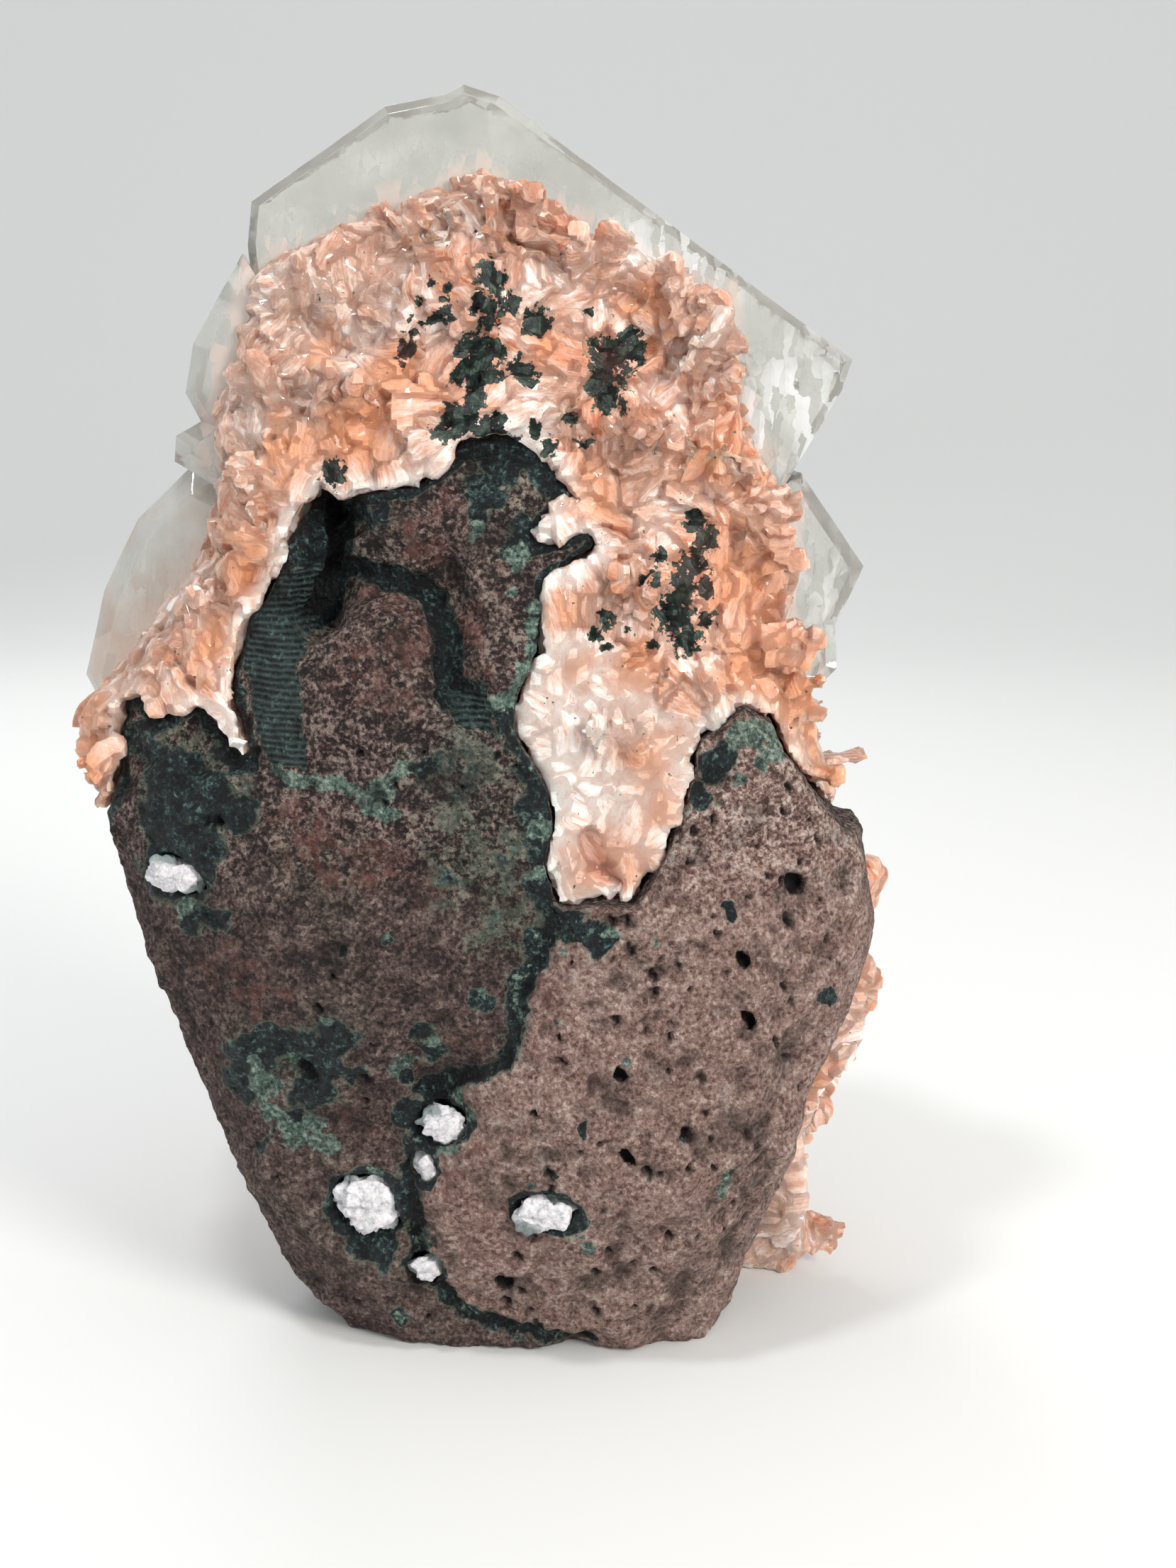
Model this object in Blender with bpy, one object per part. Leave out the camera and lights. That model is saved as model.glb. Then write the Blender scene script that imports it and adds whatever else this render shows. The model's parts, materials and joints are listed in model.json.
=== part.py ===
# Heulandite cluster on basalt. A broken piece of amygdaloidal basalt is bare in front, and its top
# and back are grown over with bladed heulandite, out of which a few large clear crystals stand.
# White zeolite fills the gas bubbles of the basalt. The piece stands on the broken foot of the rock.
# The origin is the middle of that foot, +Z is up, and the bare side of the rock faces -Y.

import math
import random

import bmesh
import bpy
from mathutils import Euler, Matrix, Vector, noise
from mathutils.bvhtree import BVHTree

MM = 0.001

# Driving dimensions
ROCK_FRONT = 15.5 * MM      # how far the bare side stands in front of the widest section
ROCK_BACK = 25.0 * MM       # how far the rock would reach back if the crust did not cover it
CRUST_FRONT = 14.5 * MM
CRUST_BACK = 19.5 * MM
CONTACT_DEPTH = 5.5 * MM    # where the basalt ends and the crust on its back begins
PIECE_GAP = 0.3 * MM        # between pieces that touch
BLADE_SINK = 1.6 * MM       # how deep a blade is rooted in the crust
MIDDLE = (-5.0, 46.0)       # the middle of the outlines, (x, z) in mm

# Outlines as (x, z) in mm, seen from the bare side
ROCK_OUTLINE = [
    (-4, 86), (8, 84), (20, 74), (25, 60), (28, 50), (29.3, 44), (29.8, 37), (29.6, 32), (27.8, 27),
    (25.3, 22), (24, 16), (22, 10), (20, 5), (17.5, -1), (12, -8), (2, -11), (-9, -9.5), (-16, -4),
    (-22.5, 4), (-27.5, 13), (-31, 22), (-34, 32), (-36.5, 41), (-39, 50), (-37, 60), (-29, 74), (-18, 82),
]
CRUST_OUTLINE = [
    (-4, 101.5), (1, 100), (9, 96), (14.5, 94), (17.5, 91.5), (16.5, 86), (18.5, 80.5), (22, 74.5),
    (22, 65), (24.5, 57), (27, 47), (28.5, 40), (29.5, 34), (30.5, 29), (29, 24), (26, 18.5), (24.6, 14),
    (24.4, 9), (26.5, 5), (25, -1), (19, -8), (8, -11), (-8, -10), (-16, -3), (-20, 9), (-26, 23), (-31, 36),
    (-35, 44), (-40.2, 52), (-40.2, 57), (-37.2, 61.5), (-32.8, 64.2), (-30.2, 67.2), (-28.4, 71),
    (-27.2, 77), (-27.2, 84), (-25, 91), (-21.5, 96), (-12, 99),
]
# The rock shows below and left of this line, and the crust above and right of it
CONTACT_LINE = [
    (-50, 46.5), (-37.3, 48.6), (-35.8, 53), (-35.5, 58.5), (-33.6, 59.3), (-32.4, 57), (-28.5, 58.9),
    (-26.7, 56.9), (-23.6, 54), (-25.5, 60.5), (-24.4, 65.4), (-22.7, 67.4), (-20.3, 73), (-17.6, 77.2),
    (-16.2, 75.7), (-13, 76.5), (-10.1, 76.8), (-7.2, 78.6), (-5.9, 81.1), (-1.5, 81.3), (0.7, 79.8),
    (3.5, 76), (0.7, 74.4), (-0.4, 72), (4.6, 73.4), (5.2, 72.2), (0.8, 69.5), (0.3, 64), (-1.6, 59.2),
    (-1.2, 56.6), (1.2, 52.5), (1.6, 49), (0.8, 45.5), (2, 42.2), (5.8, 43), (8.5, 42.7), (11.1, 46.8),
    (12.6, 51), (13.8, 56), (17.5, 58.9), (20, 57.4), (21.5, 54.2), (24.4, 50.2), (27, 46.8), (45, 43),
]
BELOW_THE_ROCK = [(45, -20), (-50, -20)]

# How deep each body is at a height: (height in mm, share of its depth)
FRONT_BY_HEIGHT = [(-8, 1.06), (0, 1.06), (14, 1.02), (34, 1.0), (60, 0.93), (80, 0.68), (95, 0.4), (104, 0.25)]
BACK_BY_HEIGHT = [(0, 0.95), (20, 0.98), (50, 1.0), (75, 0.85), (95, 0.55), (104, 0.4)]

# Lines on the bare side, (x, z) in mm: the healed crack between the two faces of the rock, the ring
# round the boss on the upper left, and the open gap above it
CRACK = [
    (2, 42.3), (0.5, 38), (-1.9, 32.2), (-2.6, 29), (-8.2, 26.1), (-8.7, 23.4), (-10.9, 19), (-10.5, 10),
    (-5.9, 3.7), (4.8, 1.2),
]
RING = [(-18.1, 67), (-14.6, 70.1), (-12, 70.8), (-9.5, 69.9), (-7.2, 66.5), (-6.3, 61.7), (-4.9, 59.5)]
GAP = [(-17.3, 77.2), (-16.7, 73), (-17.9, 69), (-18.7, 65.5)]
BOSS = (-12, 62.5)
ROUND_FACE = (10.5, 24)

# Open gas bubbles on the bare side: x, z and radius in mm
BUBBLES = [
    (22.3, 43.5, 0.9), (17.5, 38, 0.8), (7.9, 21, 0.8), (13.0, 22.9, 0.7), (7.2, 28.5, 0.6),
    (18.2, 32.5, 0.7), (-3.1, 7.4, 0.8), (10.0, 37.0, 0.6), (-16.1, 38.8, 0.7), (-23.5, 16.0, 0.7),
    (-20.5, 28.0, 1.0), (14.5, 13.0, 0.6),
]
# Bubbles filled with white zeolite: name, x, z, half width, half height, turn in degrees
FILLED_BUBBLES = [
    ("zeolite_filling_lower_left", -14.7, 14.7, 3.1, 2.7, 20),
    ("zeolite_filling_centre", 0.8, 15.3, 2.8, 1.7, -8),
    ("zeolite_filling_crack_top", -8.0, 22.8, 2.3, 1.5, 25),
    ("zeolite_filling_crack_middle", -9.4, 18.9, 1.0, 1.6, -10),
    ("zeolite_filling_crack_bottom", -9.8, 8.6, 1.7, 1.1, -25),
    ("zeolite_filling_left_edge", -30.4, 44.4, 2.9, 1.5, 12),
]

# Fans of heulandite on the bare side: x, z, heading in degrees (0 is +X, 90 is up), blade length in mm
FANS = [
    (-16.5, 80, 78, 9), (-22, 83, 112, 7), (-23, 76, 120, 5.5), (-13, 87, 96, 8.5), (-19.5, 91, 118, 6),
    (-8, 94.5, 100, 8), (-2.5, 96, 84, 8), (3.5, 92.5, 62, 8), (9.5, 88.5, 58, 8.5), (12.5, 84.5, 48, 9),
    (8.5, 77, 74, 9.5), (12.5, 75, 52, 9), (16.5, 70.5, 24, 8), (18, 64, 2, 8), (7, 66, 60, 6.5),
    (20, 60, -18, 7), (23.5, 53.5, -32, 6), (-27.5, 66, 120, 4.5), (-31, 60.5, 236, 6), (-36.5, 55.5, 250, 5),
    (-22, 70.5, 110, 5), (7.5, 54, 100, 7), (6.5, 47.5, 285, 6), (-5, 88.5, 60, 6),
]
# Fans on the edge of the back crust that shows beside the lower right of the rock
EDGE_FANS = [(28.5, 30, -20, 5), (27, 24, -35, 4.5), (24.5, 17, -60, 4), (24, 10, -80, 4), (24.5, 5, -40, 6)]
FAN_BLADES = 3
FAN_SPREAD = 46             # degrees from the first to the last blade of a fan
BACK_BLADES = 84
SEED = 11

# Clear crystals seen past the crust: name, outline (x, z), middle depth, thickness, width of the
# slanting edge faces, all in mm, turn about X and Z in degrees, and faces cut across the back as
# (point in mm, direction that the face looks in)
CLEAR_TABLETS = {
    "top": (
        [
            (-6, 109.4), (-3, 108.4), (27.3, 86.6), (26.4, 83.9), (20.5, 74), (6, 72), (-16, 82), (-24, 90),
            (-24.6, 96.2), (-24.2, 99.8), (-12.7, 107.6), (-7.6, 108.6),
        ],
        9.5, 18.0, 2.8, -4, 0,
        [((8, 17, 95), (0.42, 0.80, 0.42)), ((-12, 17, 98), (-0.45, 0.82, 0.35)), ((0, 18, 88), (0, 0.97, -0.2))],
    ),
    "left shoulder": (
        [(-30.5, 78), (-36, 73), (-39.6, 66.5), (-41.9, 58.5), (-39, 52), (-27, 54), (-20, 64), (-24, 75)],
        11.5, 12.5, 2.2, 2, -8,
        [((-33, 16, 66), (-0.35, 0.86, 0.38)), ((-32, 16, 58), (-0.1, 0.9, -0.42))],
    ),
    "left rim": (
        [(-25, 96), (-29.4, 88.5), (-30.2, 84.4), (-29, 82), (-31.2, 80.8), (-31.4, 78.6), (-24, 74), (-18, 84)],
        1.5, 7.0, 1.4, 0, 6, [],
    ),
    "right corner": (
        [(22.5, 77.5), (28.4, 69.2), (26, 64), (26.2, 60), (24.5, 58.3), (15, 58), (13, 70)],
        6.0, 12.0, 1.8, 0, 8,
        [((22, 11, 68), (0.5, 0.82, 0.25))],
    ),
}
# Clear blocks on the hidden side: middle (x, y, z) in mm, edges in mm, turns in degrees
CLEAR_BLOCKS = {
    "large": ((-5, 19, 60), (23, 18, 21), (20, 32, 14)),
    "upper": ((10, 17, 76), (15, 14, 17), (-18, 28, -32)),
    "small": ((-12.5, 22, 70), (10, 10, 12), (10, 55, 25)),
    "lower": ((10, 19, 37), (15, 14, 16), (35, -22, 40)),
    "lower small": ((1, 20, 29), (9, 9, 10), (-15, 20, 10)),
    "left": ((-23, 18.5, 37), (12, 13, 14), (15, 40, -25)),
}
# Crystals that have grown together make one piece
CLEAR_GROUPS = {
    "clear_crystals_top": ["top", "upper", "left rim", "right corner"],
    "clear_crystals_back_middle": ["large", "small"],
    "clear_crystal_left_shoulder": ["left shoulder"],
    "clear_crystals_back_lower": ["lower", "lower small"],
    "clear_crystal_back_left": ["left"],
}
CORNER_CUT = 0.89           # where a block's corners are cut, as a share of the way to the corner

COLOURS = {
    "basalt": ((0.085, 0.058, 0.050), 0.9),
    "heulandite": ((0.80, 0.38, 0.22), 0.35),
    "clear": ((0.72, 0.76, 0.70), 0.1),
    "white": ((0.78, 0.76, 0.76), 0.6),
}


def between(table, value):
    """The value that a table of (key, value) pairs gives, on straight lines between its keys."""
    if value <= table[0][0]:
        return table[0][1]
    for (low, first), (high, second) in zip(table, table[1:]):
        if value <= high:
            return first + (second - first) * (value - low) / (high - low)
    return table[-1][1]


def smooth(low, high, value):
    """Rises from 0 at low to 1 at high, level at both ends."""
    share = min(1.0, max(0.0, (value - low) / (high - low)))
    return share * share * (3 - 2 * share)


def reach(outline, angle):
    """How far an outline lies from MIDDLE in a direction, in mm."""
    dx, dz = math.cos(angle), math.sin(angle)
    far = 0.0
    for (ax, az), (bx, bz) in zip(outline, outline[1:] + outline[:1]):
        ax, az, bx, bz = ax - MIDDLE[0], az - MIDDLE[1], bx - MIDDLE[0], bz - MIDDLE[1]
        ex, ez = bx - ax, bz - az
        slant = dx * ez - dz * ex
        if abs(slant) < 1e-9:
            continue
        away = (ax * ez - az * ex) / slant
        share = (ax * dz - az * dx) / slant
        if 0 <= share <= 1 and away > far:
            far = away
    return far


def distance_to_line(line, x, z):
    """The distance in mm from a point to a line, and the side of the line that it is on."""
    best, side = 1e9, 1
    for (ax, az), (bx, bz) in zip(line, line[1:]):
        ex, ez = bx - ax, bz - az
        share = min(1.0, max(0.0, ((x - ax) * ex + (z - az) * ez) / (ex * ex + ez * ez)))
        away = math.hypot(x - ax - share * ex, z - az - share * ez)
        if away < best:
            best = away
            side = 1 if ex * (z - az) - ez * (x - ax) > 0 else -1
    return best, side


def hill(x, z, centre, radii):
    """1 at centre, 0 outside the ellipse round it."""
    away = ((x - centre[0]) / radii[0]) ** 2 + ((z - centre[1]) / radii[1]) ** 2
    return max(0.0, 1 - away) ** 1.5


def rock_relief(x, y, z, facing):
    """How far the broken rock stands out, in mm, at a point in mm. facing is 1 on the bare side."""
    where = Vector((x, y, z))
    rise = 1.3 * noise.noise(where / 15) + 0.7 * noise.noise(where / 5.5) + 0.35 * noise.noise(where / 2.6)
    if facing <= 0:
        return rise
    front = 2.4 * hill(x, z, ROUND_FACE, (17, 27))
    away, side = distance_to_line(CRACK, x, z)
    front -= 1.2 * (1 - smooth(0.5, 1.7, away))
    if side < 0:
        front -= 1.3 * (1 - smooth(1, 16, away))
    front -= 2.6 * (1 - smooth(0.8, 2.4, distance_to_line(RING, x, z)[0]))
    front += 1.1 * hill(x, z, BOSS, (6, 8))
    front -= 4.5 * (1 - smooth(0.4, 1.8, distance_to_line(GAP, x, z)[0]))
    front -= 1.8 * smooth(-19, -26, x) * smooth(48, 56, z)
    return rise + front * facing


def crust_relief(x, y, z, facing):
    """How far the crust of heulandite stands out, in mm. Its lumps are the backs of crystal fans."""
    where = Vector((x, y, z))
    near = noise.voronoi(where / 6.5)[0][0]
    lumps = 1.9 * (0.55 - near) + 1.0 * noise.noise(where / 11)
    near_rock = distance_to_line(CONTACT_LINE, x, z)[0]
    flush = 1 - 0.75 * (1 - smooth(0.5, 4.5, near_rock)) * max(0.0, facing)
    return lumps * flush + 0.5 * noise.noise(where / 3.1)


def pillow(name, outline, front, back, relief, level):
    """A closed body with an outline, its depth in front and behind, and a relief."""
    bm = bmesh.new()
    bmesh.ops.create_icosphere(bm, subdivisions=level, radius=1)
    for vertex in bm.verts:
        x, y, z = vertex.co
        share = min(1.0, math.hypot(x, z)) ** 0.9
        angle = math.atan2(z, x)
        out = reach(outline, angle) * share
        height = MIDDLE[1] + out * math.sin(angle)
        side = (1 - min(1.0, share ** 2.7)) ** (1 / 2.7)
        if y < 0:
            depth = -front * between(FRONT_BY_HEIGHT, height) * side
        else:
            depth = back * between(BACK_BY_HEIGHT, height) * side
        vertex.co = ((MIDDLE[0] + out * math.cos(angle)) * MM, depth, height * MM)
    bm.normal_update()
    rises = []
    for vertex in bm.verts:
        x, y, z = vertex.co / MM
        facing = smooth(0.15, 0.7, -vertex.normal.y)
        rises.append(relief(x, y, z, facing) * MM)
    for vertex, rise in zip(bm.verts, rises):
        vertex.co += vertex.normal * rise
    return new_object(name, bm)


def new_object(name, bm):
    mesh = bpy.data.meshes.new(name)
    bm.to_mesh(mesh)
    bm.free()
    return bpy.data.objects.new(name, mesh)


def cut_flat(body, point, normal):
    """Takes off what lies beyond a plane and closes the cut with a flat face."""
    bm = bmesh.new()
    bm.from_mesh(body.data)
    everything = bm.verts[:] + bm.edges[:] + bm.faces[:]
    cut = bmesh.ops.bisect_plane(bm, geom=everything, plane_co=point, plane_no=normal, clear_outer=True)
    rim = [piece for piece in cut["geom_cut"] if isinstance(piece, bmesh.types.BMEdge)]
    bmesh.ops.edgeloop_fill(bm, edges=rim)
    bmesh.ops.triangulate(bm, faces=bm.faces[:])
    bmesh.ops.recalc_face_normals(bm, faces=bm.faces[:])
    bm.to_mesh(body.data)
    bm.free()


def link(collection, *objects):
    for made in objects:
        collection.objects.link(made)


def as_cutter(body):
    body.hide_render = True
    body.display_type = "WIRE"
    return body


def evaluated_copy(source, name):
    """The shape an object has after its modifiers, as a plain mesh object."""
    graph = bpy.context.evaluated_depsgraph_get()
    mesh = bpy.data.meshes.new_from_object(source.evaluated_get(graph))
    bm = bmesh.new()
    bm.from_mesh(mesh)
    bmesh.ops.remove_doubles(bm, verts=bm.verts[:], dist=0.000001)
    bm.to_mesh(mesh)
    bm.free()
    made = bpy.data.objects.new(name, mesh)
    made.matrix_world = source.matrix_world
    return made


def thin_out(body, share):
    """Leaves a share of the triangles, most of them where the shape turns."""
    modifier = body.modifiers.new("thin out", "DECIMATE")
    modifier.ratio = share


def cut_with(body, cutter, operation="DIFFERENCE", overlapping=False, solver="EXACT"):
    modifier = body.modifiers.new(operation.lower(), "BOOLEAN")
    modifier.object = cutter
    modifier.operation = operation
    modifier.solver = solver
    if overlapping:
        modifier.use_self = True


def cut_closely(body, cutter, operation="DIFFERENCE"):
    """For broken faces and sockets, whose smallest triangles the exact solver gets wrong."""
    cut_with(body, cutter, operation, solver="MANIFOLD")


def moved_out(outline, distance):
    """An anticlockwise outline whose edges lie further out by a distance."""
    made = []
    for before, here, after in zip(outline[-1:] + outline[:-1], outline, outline[1:] + outline[:1]):
        first = Vector((here[1] - before[1], before[0] - here[0])).normalized()
        second = Vector((after[1] - here[1], here[0] - after[0])).normalized()
        middle = (first + second).normalized()
        length = distance / max(0.5, middle.dot(first))
        made.append((here[0] + middle.x * length, here[1] + middle.y * length))
    return made


def flat_outline(name, points, depth, thickness):
    """A plate with an outline (x, z) in mm, about a depth, with a thickness, all in mm."""
    curve = bpy.data.curves.new(name, "CURVE")
    curve.dimensions = "2D"
    curve.fill_mode = "BOTH"
    curve.extrude = thickness / 2 * MM
    spline = curve.splines.new("POLY")
    spline.points.add(len(points) - 1)
    for point, (x, z) in zip(spline.points, points):
        point.co = (x * MM, z * MM, 0, 1)
    spline.use_cyclic_u = True
    made = bpy.data.objects.new(name, curve)
    made.rotation_euler = (math.radians(90), 0, 0)
    made.location = (0, depth * MM, 0)
    return made


def curve_to_solid(plate, holder):
    """The closed mesh of a curve plate, in the world frame. The curve is removed."""
    holder.objects.link(plate)
    bpy.context.view_layer.update()
    made = evaluated_copy(plate, plate.name)
    made.data.transform(made.matrix_world)
    made.matrix_world = Matrix.Identity(4)
    name, curve = plate.name, plate.data
    bpy.data.objects.remove(plate)
    bpy.data.curves.remove(curve)
    made.name = name
    bm = bmesh.new()
    bm.from_mesh(made.data)
    bmesh.ops.remove_doubles(bm, verts=bm.verts[:], dist=0.00001)
    bmesh.ops.recalc_face_normals(bm, faces=bm.faces[:])
    bm.to_mesh(made.data)
    bm.free()
    return made


def front_half(name, gap):
    """All that lies in front of the wavy contact between the basalt and the crust on its back."""
    bm = bmesh.new()
    bmesh.ops.create_grid(bm, x_segments=15, y_segments=20, size=1)
    for vertex in bm.verts:
        x, z = vertex.co.x * 60, MIDDLE[1] + vertex.co.y * 80
        wave = 1.6 * noise.noise(Vector((x / 13, 7, z / 13))) + 0.7 * noise.noise(Vector((x / 6, 3, z / 6)))
        back = CONTACT_DEPTH / MM - 2.5 * smooth(14, 28, x) * smooth(50, 30, z) + wave + gap
        vertex.co = (x * MM, back * MM, z * MM)
    bmesh.ops.triangulate(bm, faces=bm.faces[:], quad_method="FIXED")
    walls = bmesh.ops.extrude_face_region(bm, geom=bm.faces[:])
    for piece in walls["geom"]:
        if isinstance(piece, bmesh.types.BMVert):
            piece.co.y = -60 * MM
    bmesh.ops.recalc_face_normals(bm, faces=bm.faces[:])
    return new_object(name, bm)


def rock_space(name, gap, cutters):
    """The room that the basalt takes, grown by a gap in mm."""
    outline = (CONTACT_LINE + BELOW_THE_ROCK)[::-1]
    if gap:
        outline = moved_out(outline, gap)
    prism = curve_to_solid(flat_outline(name, outline, 0, 110), cutters)
    half = front_half(name + "_depth", gap)
    link(cutters, as_cutter(prism), as_cutter(half))
    cut_closely(prism, half, "INTERSECT")
    return prism


def filled_bubble(name, place, half_width, half_height, turn, growth):
    """A lump of zeolite, a little flattened, with an uneven surface."""
    bm = bmesh.new()
    bmesh.ops.create_icosphere(bm, subdivisions=2, radius=1)
    for vertex in bm.verts:
        uneven = 1 + 0.13 * noise.noise(vertex.co * 2.1 + place * 300)
        vertex.co *= uneven
        vertex.co.x *= half_width + growth
        vertex.co.y *= 1.2 + growth
        vertex.co.z *= half_height + growth
    bmesh.ops.scale(bm, verts=bm.verts[:], vec=(MM, MM, MM))
    matrix = Matrix.Translation(place) @ Matrix.Rotation(math.radians(turn), 4, "Y")
    bmesh.ops.transform(bm, verts=bm.verts[:], matrix=matrix)
    return new_object(name, bm)


def surface_of(body):
    bm = bmesh.new()
    bm.from_mesh(body.data)
    tree = BVHTree.FromBMesh(bm)
    bm.free()
    return tree


def front_point(tree, x, z):
    """Where a line along +Y at (x, z), in mm, first meets a surface, and the normal there."""
    place, normal, _, _ = tree.ray_cast(Vector((x * MM, -60 * MM, z * MM)), Vector((0, 1, 0)))
    return place, normal


def add_blade(bm, root, direction, flat_side, length, width, thickness):
    """One heulandite blade: a long flat six-sided crystal that narrows to its end."""
    made = bmesh.ops.create_cone(
        bm, cap_ends=True, segments=6, radius1=0.5, radius2=0.3, depth=1, matrix=Matrix.Translation((0, 0, 0.5))
    )
    across = direction.cross(flat_side).normalized()
    facing = across.cross(direction).normalized()
    turn = Matrix((across * width, facing * thickness, direction * length)).transposed().to_4x4()
    bmesh.ops.transform(bm, verts=made["verts"], matrix=Matrix.Translation(root) @ turn)


def heading_vector(degrees):
    return Vector((math.cos(math.radians(degrees)), 0, math.sin(math.radians(degrees))))


def is_clear_of(crystals, root, direction, length):
    """Whether a blade stays out of all the clear crystals."""
    for share in (0, 0.35, 0.7, 1):
        point = root + direction * length * share
        for crystal in crystals:
            if all((point - face.center).dot(face.normal) < MM for face in crystal.data.polygons):
                return False
    return True


def add_fan(bm, place, normal, heading, length, chance, crystals):
    """Blades that spread from one root, as heulandite grows in bow-tie sheaves."""
    if normal.y > 0:
        normal = -normal
    for number in range(FAN_BLADES):
        spread = (number / (FAN_BLADES - 1) - 0.5) * FAN_SPREAD + chance.uniform(-6, 6)
        along = heading_vector(heading + spread)
        rise = math.radians(chance.uniform(18, 42))
        direction = (along * math.cos(rise) + normal * math.sin(rise)).normalized()
        flat_side = (normal + along.cross(normal) * chance.uniform(-0.8, 0.8)).normalized()
        grown = length * MM * chance.uniform(0.75, 1.0)
        width = grown * chance.uniform(0.4, 0.55)
        root = place - normal * BLADE_SINK
        if is_clear_of(crystals, root, direction, grown):
            add_blade(bm, root, direction, flat_side, grown, width, grown * 0.19)


def back_places(body, chance):
    """Points spread over the back of the crust, with the normals there."""
    faces = [face for face in body.data.polygons if face.normal.y > 0.45 and face.center.z > 5 * MM]
    faces.sort(key=lambda face: (round(face.center.z, 4), round(face.center.x, 4)))
    step = len(faces) / BACK_BLADES
    for number in range(BACK_BLADES):
        face = faces[int((number + chance.random() * 0.8) * step)]
        yield face.center.copy(), face.normal.copy()


def heulandite_blades(body, crystals):
    """All the blades of the crust in one mesh, not yet joined."""
    chance = random.Random(SEED)
    tree = surface_of(body)
    bm = bmesh.new()
    for x, z, heading, length in FANS:
        place, normal = front_point(tree, x, z)
        add_fan(bm, place, normal, heading, length, chance, crystals)
    for x, z, heading, length in EDGE_FANS:
        place = Vector((x * MM, CONTACT_DEPTH, z * MM))
        add_fan(bm, place, Vector((0.3, -0.95, 0)).normalized(), heading, length, chance, crystals)
    for place, normal in back_places(body, chance):
        sideways = Vector((chance.uniform(-1, 1), chance.uniform(-1, 1), chance.uniform(-1, 1)))
        direction = (normal + sideways * 0.75).normalized()
        length = chance.uniform(6, 10) * MM
        root = place - normal * BLADE_SINK
        if is_clear_of(crystals, root, direction, length):
            add_blade(bm, root, direction, sideways.cross(normal), length, length * 0.55, length * 0.2)
    return new_object("blades", bm)


def clear_tablet(name, cutters):
    """A clear crystal with two broad faces, slanting faces round its edge and faces across its back."""
    outline, depth, thickness, edge_face, turn_x, turn_z, cuts = CLEAR_TABLETS[name]
    made = curve_to_solid(flat_outline(name, outline[::-1], 0, thickness), cutters)
    bm = bmesh.new()
    bm.from_mesh(made.data)
    rims = [edge for edge in bm.edges if abs(edge.verts[0].co.y - edge.verts[1].co.y) < 1e-6]
    rims = [edge for edge in rims if len(edge.link_faces) == 2 and edge.calc_face_angle() > 0.5]
    bmesh.ops.bevel(bm, geom=rims, offset=edge_face * MM, segments=1, affect="EDGES", clamp_overlap=True)
    count = len(outline)
    middle = Vector((sum(x for x, _ in outline) / count, 0, sum(z for _, z in outline) / count)) * MM
    turn = Euler((math.radians(turn_x), 0, math.radians(turn_z))).to_matrix().to_4x4()
    place = Matrix.Translation(middle + Vector((0, depth * MM, 0))) @ turn @ Matrix.Translation(-middle)
    bmesh.ops.transform(bm, verts=bm.verts[:], matrix=place)
    bm.to_mesh(made.data)
    bm.free()
    for point, direction in cuts:
        cut_flat(made, Vector(point) * MM, Vector(direction).normalized())
    return made


def clear_block(name):
    """A blocky clear crystal whose eight corners are cut by small slanting faces."""
    middle, edges, turns = CLEAR_BLOCKS[name]
    bm = bmesh.new()
    bmesh.ops.create_cube(bm, size=2)
    made = new_object(name, bm)
    for x in (-1, 1):
        for y in (-1, 1):
            for z in (-1, 1):
                corner = Vector((x, y, z))
                cut_flat(made, corner * CORNER_CUT, corner.normalized())
    size = Matrix.Diagonal([edge / 2 * MM for edge in edges] + [1])
    turn = Euler([math.radians(angle) for angle in turns]).to_matrix().to_4x4()
    made.data.transform(Matrix.Translation(Vector(middle) * MM) @ turn @ size)
    return made


def grown_copy(crystal, gap):
    """The socket that a flat-faced crystal sits in: its hull with every face moved out by a gap."""
    bm = bmesh.new()
    for face in crystal.data.polygons:
        for number in face.vertices:
            bm.verts.new(crystal.data.vertices[number].co + face.normal * gap)
    hull = bmesh.ops.convex_hull(bm, input=bm.verts[:])
    inner = {piece for piece in hull["geom_interior"] if isinstance(piece, bmesh.types.BMVert)}
    bmesh.ops.delete(bm, geom=list(inner), context="VERTS")
    bmesh.ops.dissolve_limit(bm, angle_limit=math.radians(1), verts=bm.verts[:], edges=bm.edges[:])
    bmesh.ops.recalc_face_normals(bm, faces=bm.faces[:])
    return as_cutter(new_object(crystal.name + "_socket", bm))


def ground_block():
    bm = bmesh.new()
    bmesh.ops.create_cube(bm, size=1)
    bmesh.ops.scale(bm, verts=bm.verts[:], vec=(0.2, 0.2, 0.04))
    bmesh.ops.translate(bm, verts=bm.verts[:], vec=(0, 0, -0.02))
    return as_cutter(new_object("ground", bm))


def paint(body, kind):
    colour, roughness = COLOURS[kind]
    material = bpy.data.materials.get(kind)
    if material is None:
        material = bpy.data.materials.new(kind)
        material.use_nodes = True
        shader = material.node_tree.nodes["Principled BSDF"]
        shader.inputs["Base Color"].default_value = (*colour, 1)
        shader.inputs["Roughness"].default_value = roughness
        shader.inputs["Metallic"].default_value = 0
        if kind == "clear":
            shader.inputs["Transmission Weight"].default_value = 1
            shader.inputs["IOR"].default_value = 1.54
    body.data.materials.clear()
    body.data.materials.append(material)


def sockets_of(crystals, cutters):
    made = [grown_copy(crystal, PIECE_GAP) for crystal in crystals]
    link(cutters, *made)
    return made


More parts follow.
